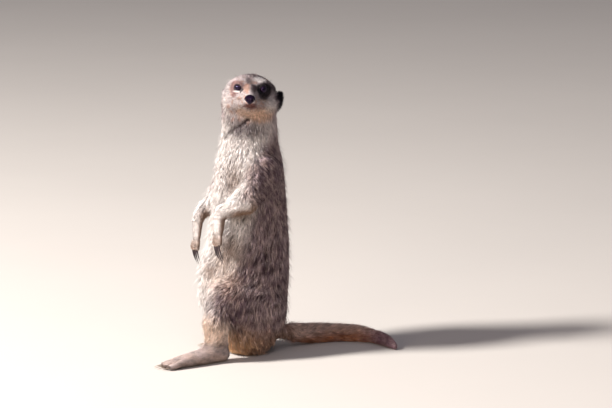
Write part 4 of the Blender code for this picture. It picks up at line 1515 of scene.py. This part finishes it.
def tuft_mesh(rings, tips, across, up, radii):
    """Closed three-sided tapers, as points by tuft and the triangles of one of them."""
    count = len(rings)
    parts = []
    for centre, radius in zip(rings, radii):
        for angle in TUFT_ANGLES:
            parts.append(centre + across * (radius * cos(angle))[:, None]
                         + up * (FLATNESS * radius * sin(angle))[:, None])
    parts.append(tips)
    faces = [(0, 2, 1)]
    for k in range(count - 1):
        for j in range(3):
            a, b = 3 * k + j, 3 * k + (j + 1) % 3
            faces += [(a, b, b + 3), (a, b + 3, a + 3)]
    last = 3 * (count - 1)
    faces += [(last + j, last + (j + 1) % 3, 3 * count) for j in range(3)]
    return np.stack(parts, axis=1), np.array(faces)


LOWEST = 0.15  # how far above the floor the lowest hair lies
PATCH = 0.003  # how wide each tuft's place on the bake map is
PATCH_TAPER = 0.55  # how much narrower it gets towards the tip


def tuft_map(unwrapped, count):
    """Map places of each tuft's points: rings round its root's place, with the tip in the middle."""
    offsets = []
    for k in range(count):
        spread = PATCH / 2 * (1 - PATCH_TAPER * k / count)
        offsets += [(spread * cos(angle), spread * sin(angle)) for angle in TUFT_ANGLES]
    offsets.append((0.0, 0.0))
    centre = PATCH + np.clip(unwrapped, 0, 1) * (1 - 2 * PATCH)
    return centre[:, None, :] + np.array(offsets)[None]


BARE = -1  # the group of roots that grow no hair
PLACE_SWIRL, HAIR_SWIRL = 11, 7  # how far the lie wanders over the body and from hair to hair, in degrees
SWIRL_SIZE = 26
LENGTH_SPREAD = (0.78, 1.15)
FLUFFY_LENGTH = 1.3  # how much longer the hair is for each millimetre of fluff
RISE_SPREAD = (0.65, 1.0)
STRAY_RISE = (1.2, 2.3)
STRAY_WIDTH = 0.75
WIDTH_SPREAD = (0.75, 1.2)
PULL = (0.15, 0.6)  # how far hairs are drawn to their leader's tip
TIP_REACH = 0.94  # how far along the surface a tuft's tip lies, for its length
BURIED = 0.4  # how far below the skin a tuft starts
MIDDLE_RISE = 0.62  # the height of a tuft's middle, for its tip's
BASE_WIDTH, MIDDLE_WIDTH = 0.42, 0.5  # radii there, for the tuft's width


def grow(context, skin, faces, unwrap, split=None, crowding=8.4, bent=True, lock_size=5, strays=0.08):
    """Grows the coat of some faces: its tufts' arrays, and each tuft's piece by a function of the roots.

    Crowding is how many layers of tufts cover the skin, lock_size how many tufts there are to a lock, and
    strays the share of tufts that stand out of their lock.
    """
    scene = context.scene
    options, paint = scene.meerkat_coat, scene.meerkat_colour
    rng = np.random.default_rng(options.seed + int(np.flatnonzero(faces)[0]))
    chosen, weights = scatter(skin, faces, crowding * options.fullness, rng)
    roots, normals, lie, depth, marking, grizzle = (
        blend_corners(values, chosen, weights)
        for values in (skin.points, skin.normals, skin.lie, skin.depth, skin.marking, skin.grizzle)
    )
    normals = unit(normals)
    number = len(roots)
    swirl = radians(PLACE_SWIRL) * waves(roots, SWIRL_SIZE, 3)
    swirl += radians(HAIR_SWIRL) * rng.normal(size=number)
    lie = flat(lie, normals)
    side = np.cross(normals, lie)
    lie = lie * np.cos(swirl)[:, None] + side * np.sin(swirl)[:, None]
    side = np.cross(lie, normals)
    fluffy = fluff(roots)
    length = hair_length(depth) * rng.uniform(*LENGTH_SPREAD, number) + FLUFFY_LENGTH * fluffy
    stray = rng.uniform(size=number) < strays
    rise = depth * rng.uniform(*RISE_SPREAD, number)
    rise *= np.where(stray, rng.uniform(*STRAY_RISE, number), 1.0)
    rise += fluffy * rng.uniform(*RISE_SPREAD, number)
    leaders, nearest = locks_of(roots, lie, lock_size, rng)
    tips = roots + lie * (TIP_REACH * length)[:, None]
    pull = rng.uniform(*PULL, number) * ~stray
    tips += (tips[leaders][nearest] - tips) * pull[:, None]
    rise = rise * (1 - 0.5 * pull) + rise[leaders][nearest] * 0.5 * pull
    tips, tip_marking = onto_skin(skin, tips, rise)
    bases = roots - normals * BURIED
    width = hair_width(depth) * rng.uniform(*WIDTH_SPREAD, number) * np.where(stray, STRAY_WIDTH, 1.0)
    if bent:
        middles, middle_marking = onto_skin(skin, roots * 0.5 + tips * 0.5, MIDDLE_RISE * rise)
        rings, radii = (bases, middles), (BASE_WIDTH * width, MIDDLE_WIDTH * width)
    else:
        middle_marking = (marking + tip_marking) / 2
        rings, radii = (bases,), (MIDDLE_WIDTH * width,)
    points, triangles = tuft_mesh(rings, tips, side, normals, radii)
    points[..., 2] = np.maximum(points[..., 2], LOWEST)
    root_colour, middle_colour, tip_colour = hair_colours(
        marking, middle_marking, tip_marking, grizzle, nearest, len(leaders), paint, rng)
    ring_colours = (root_colour, middle_colour) if bent else ((root_colour + middle_colour) / 2,)
    colours = [np.repeat(shade[:, None, :], 3, axis=1) for shade in ring_colours]
    colours = np.concatenate([*colours, tip_colour[:, None, :]], axis=1)
    places = tuft_map(unwrap(roots), len(rings))
    groups = np.zeros(number, int) if split is None else split(roots)
    groups[bare(roots, scene) | bare(tips, scene)] = BARE
    return points, triangles, colours, places, groups


def coat_piece(name, points, triangles, colours, places, slot):
    """One piece of the coat from the arrays of its tufts."""
    tufts, corners = points.shape[:2]
    faces = (triangles[None] + (np.arange(tufts) * corners)[:, None, None]).reshape(-1, 3)
    piece = mesh_from(name, points.reshape(-1, 3), faces)
    store(piece.data, "marking", with_alpha(np.clip(colours.reshape(-1, 3), 0, 1)))
    layer = piece.data.uv_layers.new(name="OFBake")
    layer.uv.foreach_set("vector", places.reshape(-1, 2)[faces.ravel()].astype(np.float32).ravel())
    finish(piece, coat_material())
    ride(piece, slot)
    return piece


def add_coat(context, name, regions, unwrap, slot, split=None, names=None, **habit):
    """Grows the coat of some regions as one piece, or as one for each name that split tells apart."""
    skin = SkinMap(bpy.data.objects["skin"])
    grown = grow(context, skin, skin.faces_of(regions), unwrap, split, **habit)
    points, triangles, colours, places, groups = grown
    for number, part in enumerate(names or [""]):
        here = groups == number
        full_name = f"coat_{name}_{part}" if part else f"coat_{name}"
        coat_piece(full_name, points[here], triangles, colours[here], places[here], slot)


def unwrap_column(low, high):
    """An unwrap round the upright body between two heights."""
    def places(points):
        return np.column_stack([around(points) / 360 + 0.5, (points[:, 2] - low) / (high - low)])
    return places


def unwrap_head(points):
    """An unwrap that spreads out from the nose to the back of the head."""
    local = unit(to_head(points) - (0, 0, -8))
    from_nose = np.arccos(np.clip(local[:, 1], -1, 1)) / pi / 2
    turn = np.arctan2(local[:, 2], local[:, 0])
    return 0.5 + np.column_stack([from_nose * np.cos(turn), from_nose * np.sin(turn)])


def unwrap_along(*nodes):
    """An unwrap round a limb, along the line between its first and its last piece."""
    start, end = middle(nodes[0]), middle(nodes[-1])
    axis = (end - start) / np.linalg.norm(end - start)
    across = unit(np.cross(axis, (0.2, 0.9, 0.3))[None])[0]
    up = np.cross(axis, across)
    boxes = np.array([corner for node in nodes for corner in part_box(node)]) / MM
    travel = (boxes - start) @ axis

    def places(points):
        turn = np.arctan2((points - start) @ up, (points - start) @ across)
        along = ((points - start) @ axis - travel.min()) / np.ptp(travel)
        return np.column_stack([turn / (2 * pi) + 0.5, along])
    return places


TAIL_CORE = 6  # how high the middle of the tail lies


def unwrap_tail(points):
    """An unwrap round the tail, along its route."""
    travel, way = along_tail(points)
    side = np.cross(way, (0, 0, 1))
    route = np.array(TAIL_ROUTE, float)
    lengths = np.concatenate([[0], np.cumsum(np.linalg.norm(np.diff(route, axis=0), axis=1))])
    x, y = (np.interp(travel, lengths, route[:, k]) for k in range(2))
    centre = np.column_stack([x, y, np.full(len(travel), TAIL_CORE)])
    turn = np.arctan2(points[:, 2] - centre[:, 2], np.sum((points - centre) * side, axis=1))
    return np.column_stack([turn / (2 * pi) + 0.5, travel / lengths[-1]])


TRUNK_SECTORS = ("breast", "left_flank", "left_back", "right_back", "right_flank")
BREAST_END, FLANK_END = 42, 112  # in degrees from the breastbone


def trunk_sector(points):
    """Which of the sectors round the trunk each point lies in."""
    turn = around(points)
    sector = np.zeros(len(points), int)
    sector[turn > BREAST_END] = 1
    sector[turn > FLANK_END] = 2
    sector[turn < -FLANK_END] = 3
    sector[(turn < -BREAST_END) & (turn >= -FLANK_END)] = 4
    return sector


FACE_START = 8  # how far forward in the head's frame the face begins


def part_of_head(points):
    """0 for the crown, 1 for the left half of the face and 2 for the right half."""
    x, y, _ = to_head(points).T
    return np.where(y < FACE_START, 0, np.where(x < 0, 1, 2))


class MEERKAT_OT_coat_head(bpy.types.Operator):
    """Grows the coat of head, ears and neck"""
    bl_idname = "meerkat.coat_head"
    bl_label = "Coat of the Head"

    def execute(self, context):
        add_coat(context, "head", HEAD_PARTS, unwrap_head, "coat_pale", part_of_head,
                 ["crown", "face_left", "face_right"], crowding=6.0, strays=0.04)
        add_coat(context, "ears", ["ear_left", "ear_right"], unwrap_head, "coat_dark",
                 crowding=9.0, bent=False, strays=0)
        add_coat(context, "neck", ["neck"], unwrap_column(195, 235), "coat_pale")
        return {"FINISHED"}


class MEERKAT_OT_coat_trunk(bpy.types.Operator):
    """Grows the coat of breast, flanks and back"""
    bl_idname = "meerkat.coat_trunk"
    bl_label = "Coat of the Trunk"

    def execute(self, context):
        add_coat(context, "trunk", ["trunk"], unwrap_column(0, 210), "coat_back",
                 trunk_sector, TRUNK_SECTORS)
        return {"FINISHED"}


class MEERKAT_OT_coat_limbs(bpy.types.Operator):
    """Grows the coat of arms, legs and paws"""
    bl_idname = "meerkat.coat_limbs"
    bl_label = "Coat of the Limbs"

    def execute(self, context):
        for side in SIDES:
            arm = [f"upper_arm_{side}", f"forearm_{side}"]
            leg = [f"thigh_{side}", f"shin_{side}"]
            add_coat(context, f"arm_{side}", arm, unwrap_along(*arm), "coat_pale")
            add_coat(context, f"leg_{side}", leg, unwrap_along(*leg), "coat_back")
            for paw in (f"hand_{side}", f"foot_{side}"):
                ends = [f"claw_{paw}_{digit}" for digit in (DIGITS[0], DIGITS[-1])]
                add_coat(context, paw, [paw], unwrap_along(paw, *ends), "coat_pale",
                         crowding=4.2, bent=False)
        return {"FINISHED"}


class MEERKAT_OT_coat_tail(bpy.types.Operator):
    """Grows the coat of the tail"""
    bl_idname = "meerkat.coat_tail"
    bl_label = "Coat of the Tail"

    def execute(self, context):
        add_coat(context, "tail", ["tail_root", "tail_middle", "tail_tip"], unwrap_tail, "coat_tail",
                 crowding=5.5)
        return {"FINISHED"}


# ------------------------------------------------------------------------------------------------
# Stage
# ------------------------------------------------------------------------------------------------


def camera_axes(options):
    """The camera's back, right and up directions."""
    azimuth, elevation = options.azimuth, options.elevation
    back = Vector((sin(azimuth) * cos(elevation), -cos(azimuth) * cos(elevation), sin(elevation)))
    right = Vector((cos(azimuth), sin(azimuth), 0))
    return back, right, back.cross(right)


def add_light(name, place, target, size, power, colour):
    data = bpy.data.lights.new(name, "AREA")
    data.shape = "DISK"
    data.size = size
    data.energy = power
    data.color = colour
    light = bpy.data.objects.new(name, data)
    light.location = place
    light.rotation_euler = (target - place).to_track_quat("-Z", "Y").to_euler()
    bpy.context.scene.collection.objects.link(light)


FIGURE_MIDDLE = 0.14
FLOOR_SIZE = 24.0


class MEERKAT_OT_stage(bpy.types.Operator):
    """Makes the pale floor, the soft lights and the camera"""
    bl_idname = "meerkat.stage"
    bl_label = "Stage"

    def execute(self, context):
        options = context.scene.meerkat_stage
        back, right, up = camera_axes(options)
        target = right * options.target_right * MM + up * options.target_up * MM
        self.add_camera(context, options, target, back)
        self.add_floor(options)
        self.add_world(context)
        self.add_lights(options, back, right)
        return {"FINISHED"}

    def add_lights(self, options, back, right):
        key_way = (-right * 0.86 + back * 0.30 + Vector((0, 0, 0.60))).normalized()
        bounce_way = (back * 0.85 - right * 0.4 + Vector((0, 0, 0.02))).normalized()
        fill_way = (back * 0.9 + right * 0.1 + Vector((0, 0, 0.52))).normalized()
        figure = Vector((0.0, 0.0, FIGURE_MIDDLE))
        shins = figure * 0.3
        add_light("key", figure + key_way * 3.2, figure, 0.6, options.key_power, (1.0, 0.965, 0.93))
        add_light("bounce", bounce_way * 1.4, shins, 0.5, options.bounce_power, (1.0, 0.80, 0.62))
        add_light("fill", figure + fill_way * 2.4, figure, 0.7, options.fill_power, (0.92, 0.86, 1.0))

    def add_camera(self, context, options, target, back):
        data = bpy.data.cameras.new("camera")
        data.sensor_width = 36.0
        data.lens = data.sensor_width * options.distance / options.view_width
        data.clip_start, data.clip_end = 0.1, 30.0
        camera = bpy.data.objects.new("camera", data)
        camera.location = target + back * options.distance
        camera.rotation_euler = back.to_track_quat("Z", "Y").to_euler()
        context.scene.collection.objects.link(camera)
        context.scene.camera = camera

    def add_floor(self, options):
        deselect()
        bpy.ops.mesh.primitive_plane_add(size=FLOOR_SIZE)
        floor = bpy.context.object
        floor.name = floor.data.name = "floor"
        material, tree, shader = new_material("floor", 0.85, 0.2)
        base = tree.nodes.new("ShaderNodeRGB")
        base.outputs[0].default_value = (*options.floor_colour, 1.0)
        colour, _ = vary(tree, base.outputs[0], 3.0, 0.03)
        tree.links.new(colour, shader.inputs["Base Color"])
        finish(floor, material)
        floor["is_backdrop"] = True

    def add_world(self, context):
        world = bpy.data.worlds.new("studio")
        world.use_nodes = True
        background = world.node_tree.nodes["Background"]
        background.inputs["Color"].default_value = (0.82, 0.78, 0.86, 1.0)
        background.inputs["Strength"].default_value = 0.32
        context.scene.world = world
        context.scene.view_settings.view_transform = "Standard"


# ------------------------------------------------------------------------------------------------
# Panel and registration
# ------------------------------------------------------------------------------------------------

STEPS = (
    MEERKAT_OT_stage,
    MEERKAT_OT_skin,
    MEERKAT_OT_eyes,
    MEERKAT_OT_nose,
    MEERKAT_OT_claws,
    MEERKAT_OT_whiskers,
    MEERKAT_OT_coat_head,
    MEERKAT_OT_coat_trunk,
    MEERKAT_OT_coat_limbs,
    MEERKAT_OT_coat_tail,
)


class MEERKAT_PT_panel(bpy.types.Panel):
    bl_label = "Meerkat Figure"
    bl_idname = "MEERKAT_PT_panel"
    bl_space_type = "VIEW_3D"
    bl_region_type = "UI"
    bl_category = "Meerkat"

    def draw(self, context):
        for step_class in STEPS:
            self.layout.operator(step_class.bl_idname)
        for name, group in SETTINGS.items():
            column = self.layout.column()
            column.label(text=name.split("_")[1].capitalize())
            for key in group.__annotations__:
                column.prop(getattr(context.scene, name), key)


def register():
    for name, group in SETTINGS.items():
        bpy.utils.register_class(group)
        setattr(bpy.types.Scene, name, PointerProperty(type=group))
    for step_class in (*STEPS, MEERKAT_PT_panel):
        bpy.utils.register_class(step_class)


def unregister():
    for step_class in reversed((*STEPS, MEERKAT_PT_panel)):
        bpy.utils.unregister_class(step_class)
    for name, group in SETTINGS.items():
        delattr(bpy.types.Scene, name)
        bpy.utils.unregister_class(group)


def main():
    register()
    for step_class in STEPS:
        group, name = step_class.bl_idname.split(".")
        getattr(getattr(bpy.ops, group), name)()
    bounds = {"cad": CAD_BOX, "visual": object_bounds()}
    {name: [list(corner) for corner in box] for name, box in bounds.items()}


if __name__ == "__main__":
    main()
